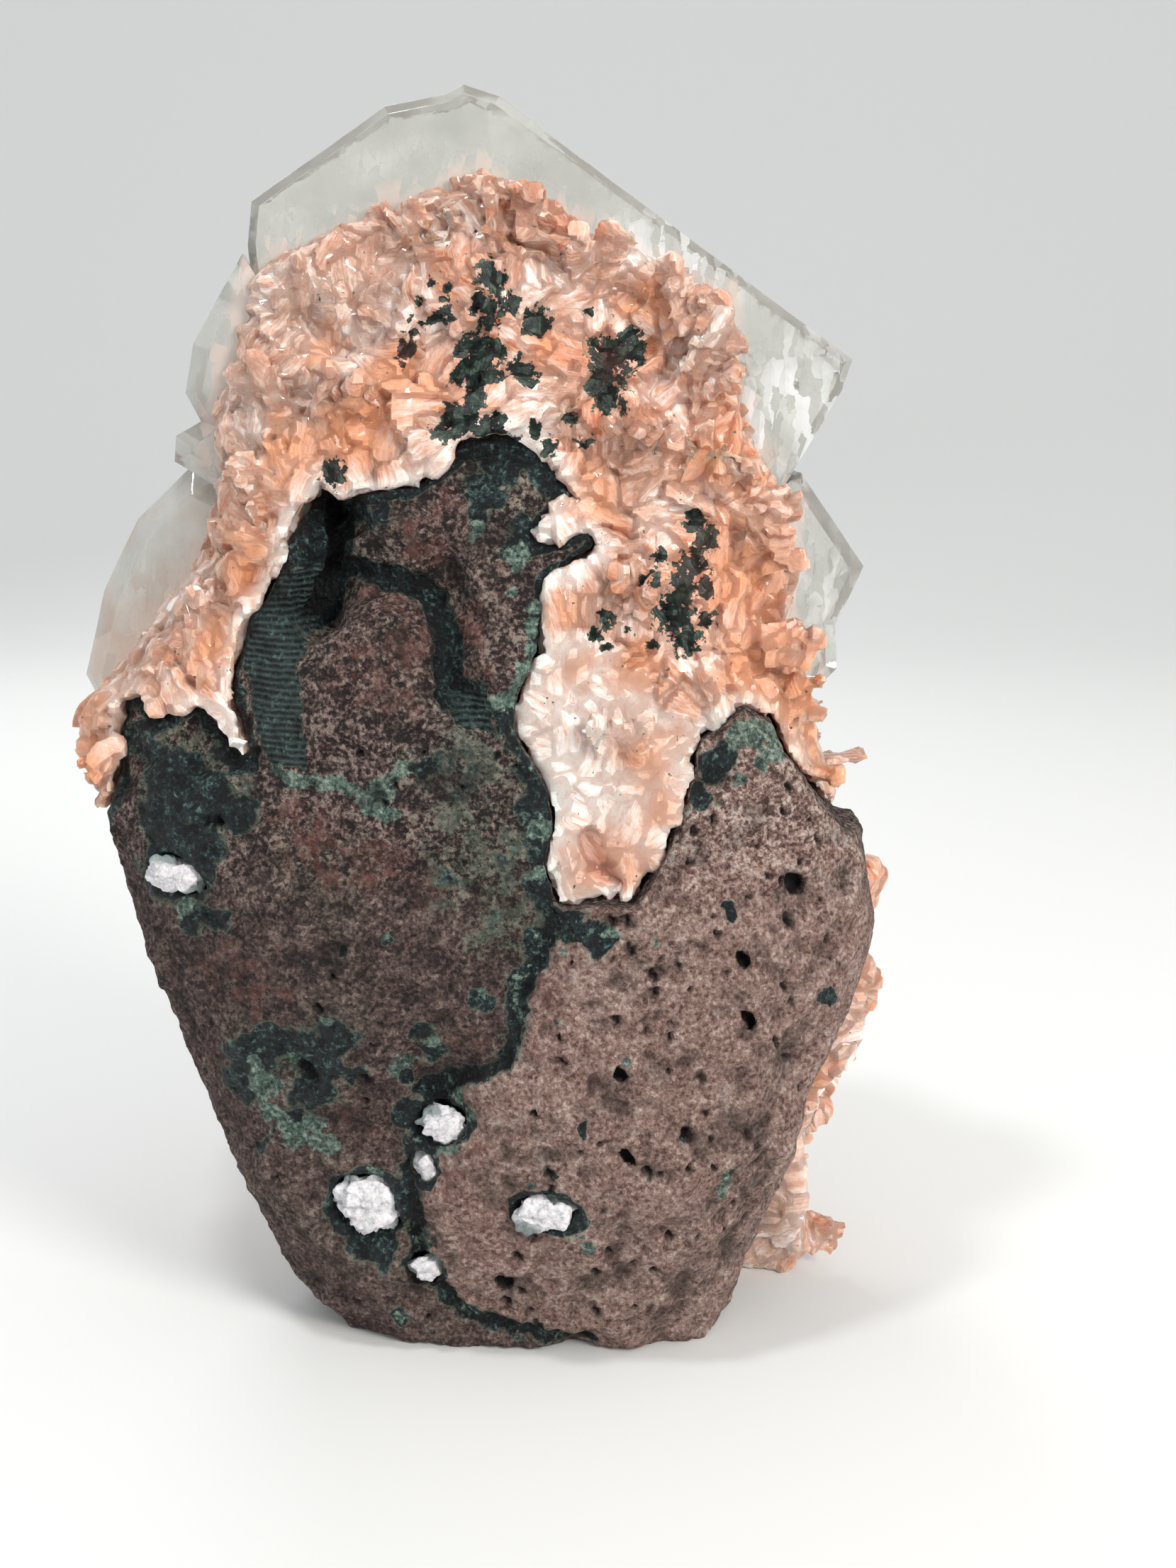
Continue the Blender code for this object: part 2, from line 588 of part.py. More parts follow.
def make_basalt(parts, cutters, sockets):
    """The rock: its broken outside, the healed crack, open bubbles and the sockets of the filled ones."""
    rock = pillow("basalt", ROCK_OUTLINE, ROCK_FRONT, ROCK_BACK, rock_relief, 5)
    cut_flat(rock, Vector((-33.5, -2, 30)) * MM, Vector((-0.93, -0.22, -0.28)))
    cut_flat(rock, Vector((-26, -8, 8)) * MM, Vector((-0.72, -0.45, -0.53)))
    cut_flat(rock, Vector((0, 0, 0)), Vector((0, 0, -1)))
    link(parts, rock)
    thin_out(rock, 0.14)
    cut_closely(rock, rock_space("rock_room", 0, cutters), "INTERSECT")
    for socket in sockets:
        cut_closely(rock, socket)
    tree = surface_of(rock)
    for number, (x, z, radius) in enumerate(BUBBLES):
        place, _ = front_point(tree, x, z)
        place = place - Vector((0, 0.15 * radius * MM, 0))
        bubble = filled_bubble(f"bubble_{number}", place, radius, radius * 0.85, 30 * number, 0)
        link(cutters, as_cutter(bubble))
        cut_with(rock, bubble)
    for name, x, z, half_width, half_height, turn in FILLED_BUBBLES:
        place, _ = front_point(tree, x, z)
        place = place + Vector((0, 0.55 * MM, 0))
        filling = filled_bubble(name, place, half_width, half_height, turn, 0)
        paint(filling, "white")
        link(parts, filling)
        socket = filled_bubble(name + "_socket", place, half_width, half_height, turn, 0.35)
        link(cutters, as_cutter(socket))
        cut_with(rock, socket)
    paint(rock, "basalt")
    return rock


def make_clear_crystals(parts, cutters):
    """One piece for each group of crystals that have grown together. Gives every single crystal."""
    singles = []
    for group, names in CLEAR_GROUPS.items():
        members = [clear_tablet(name, cutters) if name in CLEAR_TABLETS else clear_block(name) for name in names]
        for member in members:
            member.data.shade_flat()
        piece = members[0].copy()
        piece.data = members[0].data.copy()
        piece.name = group
        paint(piece, "clear")
        link(parts, piece)
        for member in members:
            link(cutters, as_cutter(member))
        for member in members[1:]:
            cut_with(piece, member, "UNION")
        singles += members
    return singles


def make_crust(parts, cutters, crystals, sockets):
    """The heulandite: a lumpy crust, its blades, and the sockets of the clear crystals."""
    crust = pillow("heulandite_crust", CRUST_OUTLINE, CRUST_FRONT, CRUST_BACK, crust_relief, 5)
    blades = heulandite_blades(crust, crystals)
    link(cutters, as_cutter(blades))
    link(parts, crust)
    thin_out(crust, 0.1)
    cut_with(crust, blades, "UNION", overlapping=True)
    cut_closely(crust, rock_space("rock_room_and_gap", PIECE_GAP / MM, cutters))
    for socket in sockets:
        cut_closely(crust, socket)
    ground = ground_block()
    link(cutters, ground)
    cut_with(crust, ground)
    paint(crust, "heulandite")
    return crust


def main():
    for old in list(bpy.data.objects):
        bpy.data.objects.remove(old)
    parts = bpy.data.collections.new("heulandite cluster")
    cutters = bpy.data.collections.new("cutters")
    bpy.context.scene.collection.children.link(parts)
    bpy.context.scene.collection.children.link(cutters)
    crystals = make_clear_crystals(parts, cutters)
    sockets = sockets_of(crystals, cutters)
    make_basalt(parts, cutters, sockets)
    make_crust(parts, cutters, crystals, sockets)


main()
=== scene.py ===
import functools
import json
import math
import random

import bmesh
import bpy
import numpy as np
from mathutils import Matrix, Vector, bvhtree, kdtree, noise

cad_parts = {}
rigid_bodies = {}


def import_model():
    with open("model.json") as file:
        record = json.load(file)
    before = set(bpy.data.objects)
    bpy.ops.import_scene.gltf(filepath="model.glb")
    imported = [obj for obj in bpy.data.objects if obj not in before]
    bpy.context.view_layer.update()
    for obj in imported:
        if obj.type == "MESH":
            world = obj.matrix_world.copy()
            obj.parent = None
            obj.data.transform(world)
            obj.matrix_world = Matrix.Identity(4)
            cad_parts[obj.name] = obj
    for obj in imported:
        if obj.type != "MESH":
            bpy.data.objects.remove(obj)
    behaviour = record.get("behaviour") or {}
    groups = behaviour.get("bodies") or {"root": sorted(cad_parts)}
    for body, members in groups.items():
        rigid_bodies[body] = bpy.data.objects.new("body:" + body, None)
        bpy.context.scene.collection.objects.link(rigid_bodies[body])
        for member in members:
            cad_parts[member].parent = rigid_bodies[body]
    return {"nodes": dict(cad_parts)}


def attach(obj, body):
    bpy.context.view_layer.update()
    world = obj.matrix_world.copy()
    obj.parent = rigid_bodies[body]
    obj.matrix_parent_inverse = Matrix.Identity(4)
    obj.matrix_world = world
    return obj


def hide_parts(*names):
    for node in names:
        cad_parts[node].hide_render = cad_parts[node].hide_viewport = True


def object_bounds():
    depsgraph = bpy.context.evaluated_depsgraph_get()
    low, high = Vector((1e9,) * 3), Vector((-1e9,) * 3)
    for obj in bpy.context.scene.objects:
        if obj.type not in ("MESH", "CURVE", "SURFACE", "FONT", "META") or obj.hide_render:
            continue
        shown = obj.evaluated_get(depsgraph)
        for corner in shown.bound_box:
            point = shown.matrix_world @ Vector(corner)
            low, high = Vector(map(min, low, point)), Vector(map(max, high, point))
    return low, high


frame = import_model()
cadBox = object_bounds()
mm = 0.001
coarser, coarserArea = ((1, 1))

# small helpers


def linearColour(hexValue):
    channels = [int(hexValue[i : i + 2], 16) / 255 for i in (1, 3, 5)]
    return (*[c / 12.92 if c <= 0.04045 else ((c + 0.055) / 1.055) ** 2.4 for c in channels], 1)


# the property that the mode of such a node is kept in
modes = {"Math": "operation", "VectorMath": "operation", "Mix": "data_type", "MapRange": "interpolation_type"}


def newObject(name, data):
    made = bpy.data.objects.new(name, data)
    bpy.context.scene.collection.objects.link(made)
    return made


def setNode(node, values):
    # values: sockets by name or number, properties in lower case; "stops" is for a ramp and "range" for what
    # goes in and what comes out. A colour is hex, and of a node the first output in use is linked
    for key, value in values.items():
        if isinstance(value, bpy.types.Node):
            value = next(socket for socket in value.outputs if socket.enabled)
        if isinstance(value, str) and value.startswith("#"):
            value = linearColour(value)
        if key == "stops":
            ramp = node.color_ramp.elements
            while len(ramp) < len(value):
                ramp.new(0.5)
            for stop, (place, colour) in zip(ramp, value):
                stop.position, stop.color = place, linearColour(colour)
        elif key == "range":
            for socket, part in zip(node.inputs[1:5], value):
                socket.default_value = part
        elif isinstance(key, str) and key[0].islower():
            setattr(node, key, value)
        elif isinstance(value, bpy.types.NodeSocket):
            node.id_data.links.new(value, node.inputs[key])
        else:
            node.inputs[key].default_value = value


def addNode(tree, kind, values=None):
    # kind: its type, as a shader node if nothing else is said, and then its mode
    kind, _, mode = kind.partition(" ")
    node = tree.nodes.new(kind if "Node" in kind else "ShaderNode" + kind)
    if mode:
        setattr(node, modes[kind], mode)
    setNode(node, values or {})
    return node


def newMaterial(name, *marks):
    # the material, the function that adds its nodes, its shader, and the stored values that it reads
    material = bpy.data.materials.new(name)
    material.use_nodes = True
    add = functools.partial(addNode, material.node_tree)
    mark = {name: add("Attribute", {"attribute_name": name}).outputs["Fac"] for name in marks}
    return material, add, material.node_tree.nodes["Principled BSDF"], mark


def smoothStep(low, high, values):
    share = np.clip((values - low) / (high - low), 0, 1)
    return share * share * (3 - 2 * share)


def noiseAt(points, size, octaves, shift):
    # about -1 to 1, for points in mm, with features of that size in mm
    return np.array([noise.fractal(Vector(p), 0.9, 2.1, octaves) for p in points / size + shift])


def wavesAt(points, slowSize, fastSize):
    # slow and fast waves along x and along z, that bend every outline so that none is a drawn curve
    return [
        (noiseAt(points, slowSize, 3, 5 + 20 * axis), noiseAt(points, fastSize, 2, 9 + 30 * axis)) for axis in (0, 1)
    ]


def nearestOnLine(x, z, line):
    # distance to the line, and the line's nearest point
    best, nearX, nearZ = np.full(len(x), 1e9), np.zeros(len(x)), np.zeros(len(x))
    for (ax, az), (bx, bz) in zip(line, line[1:]):
        ex, ez = bx - ax, bz - az
        share = np.clip(((x - ax) * ex + (z - az) * ez) / (ex * ex + ez * ez), 0, 1)
        px, pz = ax + share * ex, az + share * ez
        away = np.hypot(x - px, z - pz)
        closer = away < best
        best, nearX, nearZ = np.where(closer, away, best), np.where(closer, px, nearX), np.where(closer, pz, nearZ)
    return best, nearX, nearZ


def lineBand(x, z, line, inner, outer):
    # 1 within inner of the line, 0 past outer
    return 1 - smoothStep(inner, outer, nearestOnLine(x, z, line)[0])


def insideOutline(x, z, outline):
    inside = np.zeros(len(x), bool)
    for (ax, az), (bx, bz) in zip(outline, outline[1:] + outline[:1]):
        if az != bz:
            crosses = (az > z) != (bz > z)
            inside ^= crosses & (x < (bx - ax) * (z - az) / (bz - az) + ax)
    return inside


def patchesAt(x, z, places, soft=0.5):
    # 1 in the middle of each round patch (x, z, radius), 0 outside
    found = np.zeros(len(x))
    for px, pz, radius in places:
        found = np.maximum(found, 1 - smoothStep(1 - soft, 1 + soft, np.hypot(x - px, z - pz) / radius))
    return found


def pointsOf(mesh):
    points = np.empty(len(mesh.vertices) * 3)
    mesh.vertices.foreach_get("co", points)
    return points.reshape(-1, 3) / mm


def normalsOf(mesh):
    normals = np.empty(len(mesh.vertices) * 3, np.float32)
    mesh.vertex_normals.foreach_get("vector", normals)
    return normals.reshape(-1, 3).astype(float)


def setPoints(mesh, points):
    mesh.vertices.foreach_set("co", (points * mm).ravel())
    mesh.update()


def storeValues(mesh, named):
    for name, values in named.items():
        attribute = mesh.attributes.new(name, "FLOAT", "POINT")
        attribute.data.foreach_set("value", np.clip(values, 0, 1).astype(np.float32))


def storeGrain(mesh, grain):
    attribute = mesh.attributes.new("grain", "FLOAT_VECTOR", "POINT")
    attribute.data.foreach_set("vector", grain.astype(np.float32).ravel())


def plainMesh(source, name):
    # the evaluated shape as a mesh of its own, and the source is gone
    graph = bpy.context.evaluated_depsgraph_get()
    mesh = bpy.data.meshes.new_from_object(source.evaluated_get(graph))
    bpy.data.objects.remove(source)
    return newObject(name, mesh)


def mergedCopy(node, name):
    # a CAD node's mesh is loose triangles, so its copy is merged before anything else
    mesh = frame["nodes"][node].data.copy()
    mesh.materials.clear()
    bm = bmesh.new()
    bm.from_mesh(mesh)
    bmesh.ops.remove_doubles(bm, verts=bm.verts[:], dist=0.000002)
    for face in bm.faces:
        face.smooth = False
    bm.to_mesh(mesh)
    bm.free()
    return newObject(name, mesh)


def remeshedCopy(node, name, voxel, rounds):
    made = mergedCopy(node, name)
    remesh = made.modifiers.new("even grid", "REMESH")
    remesh.mode = "VOXEL"
    remesh.voxel_size = voxel * coarser * mm
    remesh.use_smooth_shade = True
    smooth = made.modifiers.new("worn edges", "SMOOTH")
    smooth.factor = 0.5
    smooth.iterations = rounds
    return plainMesh(made, name)


def pointTree(points):
    tree = kdtree.KDTree(len(points))
    for i, point in enumerate(points):
        tree.insert(Vector(point), i)
    tree.balance()
    return tree


def surfaceTree(nodes):
    # a search tree of the CAD nodes' surfaces, in mm
    corners, faces = [], []
    for node in nodes:
        mesh = frame["nodes"][node].data
        start = len(corners)
        corners += [v.co / mm for v in mesh.vertices]
        faces += [[start + i for i in polygon.vertices] for polygon in mesh.polygons]
    return bvhtree.BVHTree.FromPolygons(corners, faces)


def distanceTo(surface, points, reach):
    away = np.full(len(points), reach, float)
    for i, point in enumerate(points):
        found = surface.find_nearest(Vector(point), reach)[3]
        if found is not None:
            away[i] = found
    return away


def finishPiece(piece, nodes, material=None):
    if material is not None:
        piece.data.materials.clear()
        piece.data.materials.append(material)
    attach(piece, "root")
    if nodes:
        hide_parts(*nodes)
    print(piece.name + ":", sum(len(p.vertices) - 2 for p in piece.data.polygons), "triangles")


# camera, floor and lights

studio = {
    "cameraPlace": (4.5, -176.0, 89.2),  # close, as for a hand specimen
    "cameraPitch": 12.6,
    "lens": 46.06,
    "floorColour": "#DFE0DF",
    "worldColour": "#F4F5F6",
    "worldStrength": 0.89,
    "lights": {  # place, size and watts, colour; all look at the middle of the specimen
        "window from the right": ((300, -330, 260), 170, 1.75, "#FFFAF4"),
        "glint from above": ((-90, -100, 420), 45, 0.45, "#FFFFFF"),
        "light from behind": ((-120, 330, 300), 200, 0.5, "#FFFFFF"),
    },
}


def makeStudio():
    data = bpy.data.cameras.new("camera")
    data.lens, data.sensor_width, data.clip_start = studio["lens"], 36, 0.005
    camera = newObject("camera", data)
    camera.location = Vector(studio["cameraPlace"]) * mm
    camera.rotation_euler = (math.radians(90 - studio["cameraPitch"]), 0, 0)
    bpy.context.scene.camera = camera

    world = bpy.data.worlds.new("soft room light")
    world.use_nodes = True
    background = world.node_tree.nodes["Background"]
    setNode(background, {"Color": studio["worldColour"], "Strength": studio["worldStrength"]})
    bpy.context.scene.world = world
    bpy.context.scene.view_settings.view_transform = "Standard"

    for name, (place, size, watts, colour) in studio["lights"].items():
        data = bpy.data.lights.new(name, "AREA")
        data.shape, data.size, data.energy = "DISK", size * mm, watts
        data.color = linearColour(colour)[:3]
        light = newObject(name, data)
        light.location = Vector(place) * mm
        light.rotation_euler = (Vector((0, 0, 50)) - Vector(place)).to_track_quat("-Z", "Y").to_euler()

    # a floor that curves up behind into the backdrop, in metres
    front, depth, half, top, radius, steps = -1.2, 0.9, 1.6, 1.6, 0.5, 16
    rows = [(front, 0)]
    for step in range(steps + 1):
        turn = math.pi / 2 * step / steps
        rows.append((depth - radius + radius * math.sin(turn), radius - radius * math.cos(turn)))
    rows.append((depth, top))
    corners = [(side * half, y, z) for side in (-1, 1) for y, z in rows]
    count = len(rows)
    mesh = bpy.data.meshes.new("pale floor")
    mesh.from_pydata(corners, [], [(i, count + i, count + i + 1, i + 1) for i in range(count - 1)])
    mesh.shade_smooth()
    floor = newObject("pale_floor", mesh)
    # coated paper board: matt, so it shows soft shadows and no reflections
    material, _, shader, _ = newMaterial("matt paper board")
    setNode(shader, {"Base Color": studio["floorColour"], "Roughness": 0.9, "Specular IOR Level": 0.2})
    mesh.materials.append(material)


makeStudio()
print("stage: camera, lights and floor")

# lines of the bare side, (x, z) in mm, seen from the front

contactLine = [
    (-50, 46.5), (-37.3, 48.6), (-35.8, 53), (-35.5, 58.5), (-33.6, 59.3), (-32.4, 57), (-28.5, 58.9), (-26.7, 56.9),
    (-23.6, 54), (-25.5, 60.5), (-24.4, 65.4), (-22.7, 67.4), (-20.3, 73), (-17.6, 77.2), (-16.2, 75.7), (-13, 76.5),
    (-10.1, 76.8), (-7.2, 78.6), (-5.9, 81.1), (-1.5, 81.3), (0.7, 79.8), (3.5, 76), (0.7, 74.4), (-0.4, 72),
    (4.6, 73.4), (5.2, 72.2), (0.8, 69.5), (0.3, 64), (-1.6, 59.2), (-1.2, 56.6), (1.2, 52.5), (1.6, 49), (0.8, 45.5),
    (2, 42.2), (5.8, 43), (8.5, 42.7), (11.1, 46.8), (12.6, 51), (13.8, 56), (17.5, 58.9), (20, 57.4), (21.5, 54.2),
    (24.4, 50.2), (27, 46.8), (45, 43),
]
crackLine = [
    (2, 42.3), (1, 40.2), (0.4, 38), (-1.2, 34.8), (-1.9, 32.2), (-2.6, 29), (-5.6, 27.5), (-8.2, 26.1), (-8.6, 23.6),
    (-10.4, 21.4), (-11.1, 17.8), (-10.5, 13.4), (-10.5, 9.7), (-8.6, 6.7), (-5.9, 3.7), (-1.8, 2.7), (4.8, 1.2),
]
besideTongueLine = [(2, 42.6), (0.7, 45.3), (1.2, 48.7), (2, 50.4), (0.6, 53.8), (-0.6, 56.1), (-1.6, 59.5)]
ringLine = [
    (-16.3, 69.8), (-15.3, 70), (-14.1, 70), (-12.4, 69.6), (-10.7, 69.3), (-9.3, 68.5), (-8.1, 67.3), (-7.4, 65.7),
    (-7.2, 63.7), (-7.1, 62), (-6.9, 60),
]
gapLine = [(-17.3, 77.6), (-16.9, 74.9), (-16.6, 72.3), (-17.7, 69.1), (-18.5, 66.2)]
paleLine = [
    (-21.9, 53.8), (-19.3, 53.4), (-16.4, 53.4), (-14.1, 52.1), (-12.2, 50.8), (-13.1, 53.4), (-10.5, 55.1),
]
striatedPatch = [
    (-21.9, 70), (-23.4, 66.6), (-24.2, 64), (-24, 60.7), (-23.2, 57.4), (-22.2, 54.4), (-18.9, 54.4), (-19.1, 59.4),
    (-19.3, 62.7), (-18.4, 65.9), (-18.2, 70),
]
ringEndPatch = [(-7.2, 60.6), (-3.6, 60.6), (-3.2, 57.6), (-6.4, 57.8)]

# white fillings of gas bubbles: middle x and z, half width and half height, turn in degrees
fillingPlaces = {
    "zeolite_filling_lower_left": (-14.7, 14.7, 3.1, 2.7, 20),
    "zeolite_filling_centre": (0.8, 15.3, 2.8, 1.7, -8),
    "zeolite_filling_crack_top": (-8, 22.8, 2.3, 1.5, 25),
    "zeolite_filling_crack_middle": (-9.4, 18.9, 1, 1.6, -10),
    "zeolite_filling_crack_bottom": (-9.8, 8.6, 1.7, 1.1, -25),
    "zeolite_filling_left_edge": (-30.4, 44.4, 2.9, 1.5, 12),
}


def fillingReach(x, z, place):
    # 1 at the filling's edge, less inside
    px, pz, halfWidth, halfHeight, turn = place
    c, s = math.cos(math.radians(turn)), math.sin(math.radians(turn))
    along, up = (x - px) * c + (z - pz) * s, (z - pz) * c - (x - px) * s
    return np.hypot(along / halfWidth, up / halfHeight)


# basalt

basalt = {
    "voxel": 0.40,
    "smoothRounds": 6,
    "lumps": (0.42, 5),  # height and size of the broken relief, mm
    "chips": (0.36, 2),
    "grain": (0.22, 1),  # height and size of the grains, mm
    # how deep these lie below the face, mm
    "crackDepth": 0.5,
    "ringDepth": 0.6,
    "gapDepth": 1.5,
    "ridgesDepth": 0.12,
    "pitDepth": 0.7,
    "hollows": 130,  # small empty gas bubbles, most of them on the right
    "seed": 4,
    # places (x, z, radius) of the minerals that line bubbles and cracks
    "darkGreen": [
        (-4.3, 80.1, 1.5), (-2.1, 80.1, 1.9), (-2.8, 78.8, 1.5), (-0.4, 79.4, 1.6), (1.5, 78, 1.3), (2.7, 76.2, 1.3),
        (-6.2, 79, 0.9), (-4.3, 77, 1), (-3.7, 75.8, 1), (-4.7, 74.8, 0.8), (-1, 74.2, 0.8), (-1.2, 72.7, 0.8),
        (-0.1, 73.2, 0.6), (-1.7, 71.5, 0.7), (-13.7, 74.6, 1), (-12.5, 75, 0.9), (-14.7, 74.8, 0.8),
        (-15.7, 74.3, 0.7), (-5.7, 68.3, 0.4), (-5, 61, 1.1), (-19.2, 73, 2.6), (-17.6, 75, 2), (-30.5, 52.5, 2.9),
        (-27.5, 51, 2.4), (-24.6, 50.4, 1.7), (-31.5, 48.5, 2.3), (-28.2, 47.6, 1.8), (-33.8, 55.4, 1.6),
        (-25.2, 55, 1.6), (-24.6, 28, 2.3), (-22.6, 30, 1.7), (-19.6, 29.2, 2), (-17.2, 31, 1.6), (-17.6, 28, 1.4),
        (-19.4, 25.6, 1.8), (-21, 22.6, 1.6), (-25.8, 25.4, 1.6), (-15.4, 27, 1), (-9.6, 31.6, 0.9), (-9.1, 29.6, 1),
        (-10.9, 27, 0.8), (-8.4, 25.6, 1.6), (-11.2, 23.8, 1.4), (-14.2, 10.6, 1.9), (-17.2, 16.8, 1.2),
        (-11.9, 16.4, 1.2), (-12.4, 3.8, 0.8), (-24.2, 19.6, 0.8), (5.4, 40.4, 1.3), (3.4, 40.8, 1.3),
        (0.2, 39.8, 0.9), (-1, 33.4, 0.9), (-4.5, 34.3, 1), (-16.1, 38.8, 0.6), (-12.1, 39.6, 0.5), (2.2, 19, 0.5),
        (-8.8, 54.6, 0.9), (15.2, 54.6, 1.4), (14, 52, 1.2), (-27.4, 41, 1.3), (-29.2, 39.8, 1), (16.4, 42.4, 0.7),
        (4.4, 23.6, 0.5), (12.6, 22.9, 0.6), (25.4, 33, 0.9), (1.2, 47, 1.8), (0.8, 51, 2), (-0.6, 54.6, 1.4),
        (-30.6, 44.8, 3.2),
    ],
    "mottled": [(-4.5, 47, 5.5), (-6.5, 54, 4.5), (-2.5, 40, 3.5), (-28, 53, 5.5)],
    "mint": [
        (-5.1, 73.7, 0.7), (-1.2, 71.5, 0.9), (0, 67.6, 0.7), (0.1, 65.7, 0.9), (-0.3, 63.7, 0.9), (-1, 62, 1),
        (-2, 60.5, 1), (-3, 59.7, 0.8), (-2, 68.6, 0.6), (-23.6, 25.8, 1.6), (-22.6, 23.4, 1.3), (-21.2, 21, 1.7),
        (-23.6, 28, 0.9), (-18.6, 20.6, 1), (-19.4, 22.6, 0.9), (-21, 28.6, 0.9), (-18, 32.2, 0.7),
        (-11.2, 28.6, 1.1), (-12.2, 27.2, 0.8), (-9, 30.6, 0.5), (-6.8, 25.4, 0.8), (-5.6, 24.4, 0.8),
        (-8, 20.6, 0.7), (-6.8, 21.6, 0.9), (-9.4, 11.8, 0.9), (-14.2, 17.6, 0.7), (-12.4, 3.8, 0.5),
        (16.6, 17.9, 0.8), (17.2, 19, 0.6), (15.9, 16.9, 0.6), (4.6, 11.9, 0.9), (3.6, 13.4, 0.5), (-0.6, 18, 0.5),
        (-12.6, 53, 1.2), (-14.4, 51.6, 0.8), (20.6, 55.4, 1.4), (18.6, 57, 1.5), (16.8, 56.6, 1.2),
        (19.2, 54.2, 0.9), (17.2, 52.8, 0.6), (15.6, 51, 0.5), (-29.8, 41.4, 0.8), (6.2, 40.9, 0.7), (2.6, 38.9, 0.5),
        (13.8, 47.6, 0.4), (7.4, 29.6, 0.5), (2.4, 33, 0.4), (9.6, 45.8, 0.4), (10.4, 40.4, 0.5), (-12.4, 40.2, 0.5),
        (0.2, 45.6, 0.9), (-0.9, 57.6, 0.8), (-19.9, 37.6, 0.6), (-17.6, 38.2, 0.5), (-4.4, 35, 0.5),
        (0.5, 49.5, 1.2), (-0.4, 63, 0.8),
    ],
    "rust": [
        (-10.4, 73.7, 1.1), (-9.5, 71.5, 1.1), (-7.5, 69.3, 0.9), (-5.4, 66.6, 1), (-5.7, 64.4, 1),
        (-13.2, 67.6, 1.7), (-10, 66.1, 1.7), (-8.4, 63.7, 1.4), (-11.8, 64.2, 1.8), (-7.9, 61.7, 1.1),
        (-17.5, 47, 3.2), (-13, 46, 2.2), (-5.6, 65, 1.6), (-5, 61.5, 1.4), (-8.6, 71.5, 1.8), (1.6, 36, 1.4),
        (1.8, 33.4, 1.4), (0.2, 30.5, 1.2), (-14.5, 61.5, 2.4), (-11, 64, 1.8), (-10.8, 60, 2), (-12.4, 66.8, 1.6),
        (-20, 50.4, 1.6), (10.6, 44.4, 1.4), (-9, 44.5, 1.6), (-25.5, 36, 2.6), (-6.6, 17.6, 1.8), (-5, 13, 1.6),
        (-4.6, 21.6, 1.4), (-7, 75.2, 1.8), (-2.4, 69.2, 1.4), (-22.6, 33.5, 1.8), (-6, 31, 1.4), (-15.5, 22.5, 1.8),
    ],
    "pits": [
        (22.3, 43.5, 0.7), (17.5, 38, 0.6), (7.9, 21, 0.6), (13, 22.9, 0.5), (7.2, 28.5, 0.5), (18.2, 32.5, 0.5),
        (-3.1, 7.4, 0.6), (21.7, 40.5, 0.5), (7.8, 41.9, 0.4), (1.1, 19.3, 0.4), (10, 37, 0.4), (9.6, 19.6, 0.4),
        (-19.6, 27.4, 0.8), (-14.6, 26.6, 0.5), (-18.4, 33.6, 0.4), (5.2, 9.2, 0.4), (14.2, 27.8, 0.4),
        (11.4, 31.6, 0.4),
    ],
}


def hollowPlaces():
    chance = random.Random(basalt["seed"])
    places = list(basalt["pits"])
    while len(places) < basalt["hollows"]:
        x, z = chance.uniform(-28, 27), chance.uniform(3, 56)
        if chance.random() < 0.3 + 0.7 * (x > -3):
            places.append((x, z, chance.uniform(0.16, 0.36)))
    return places


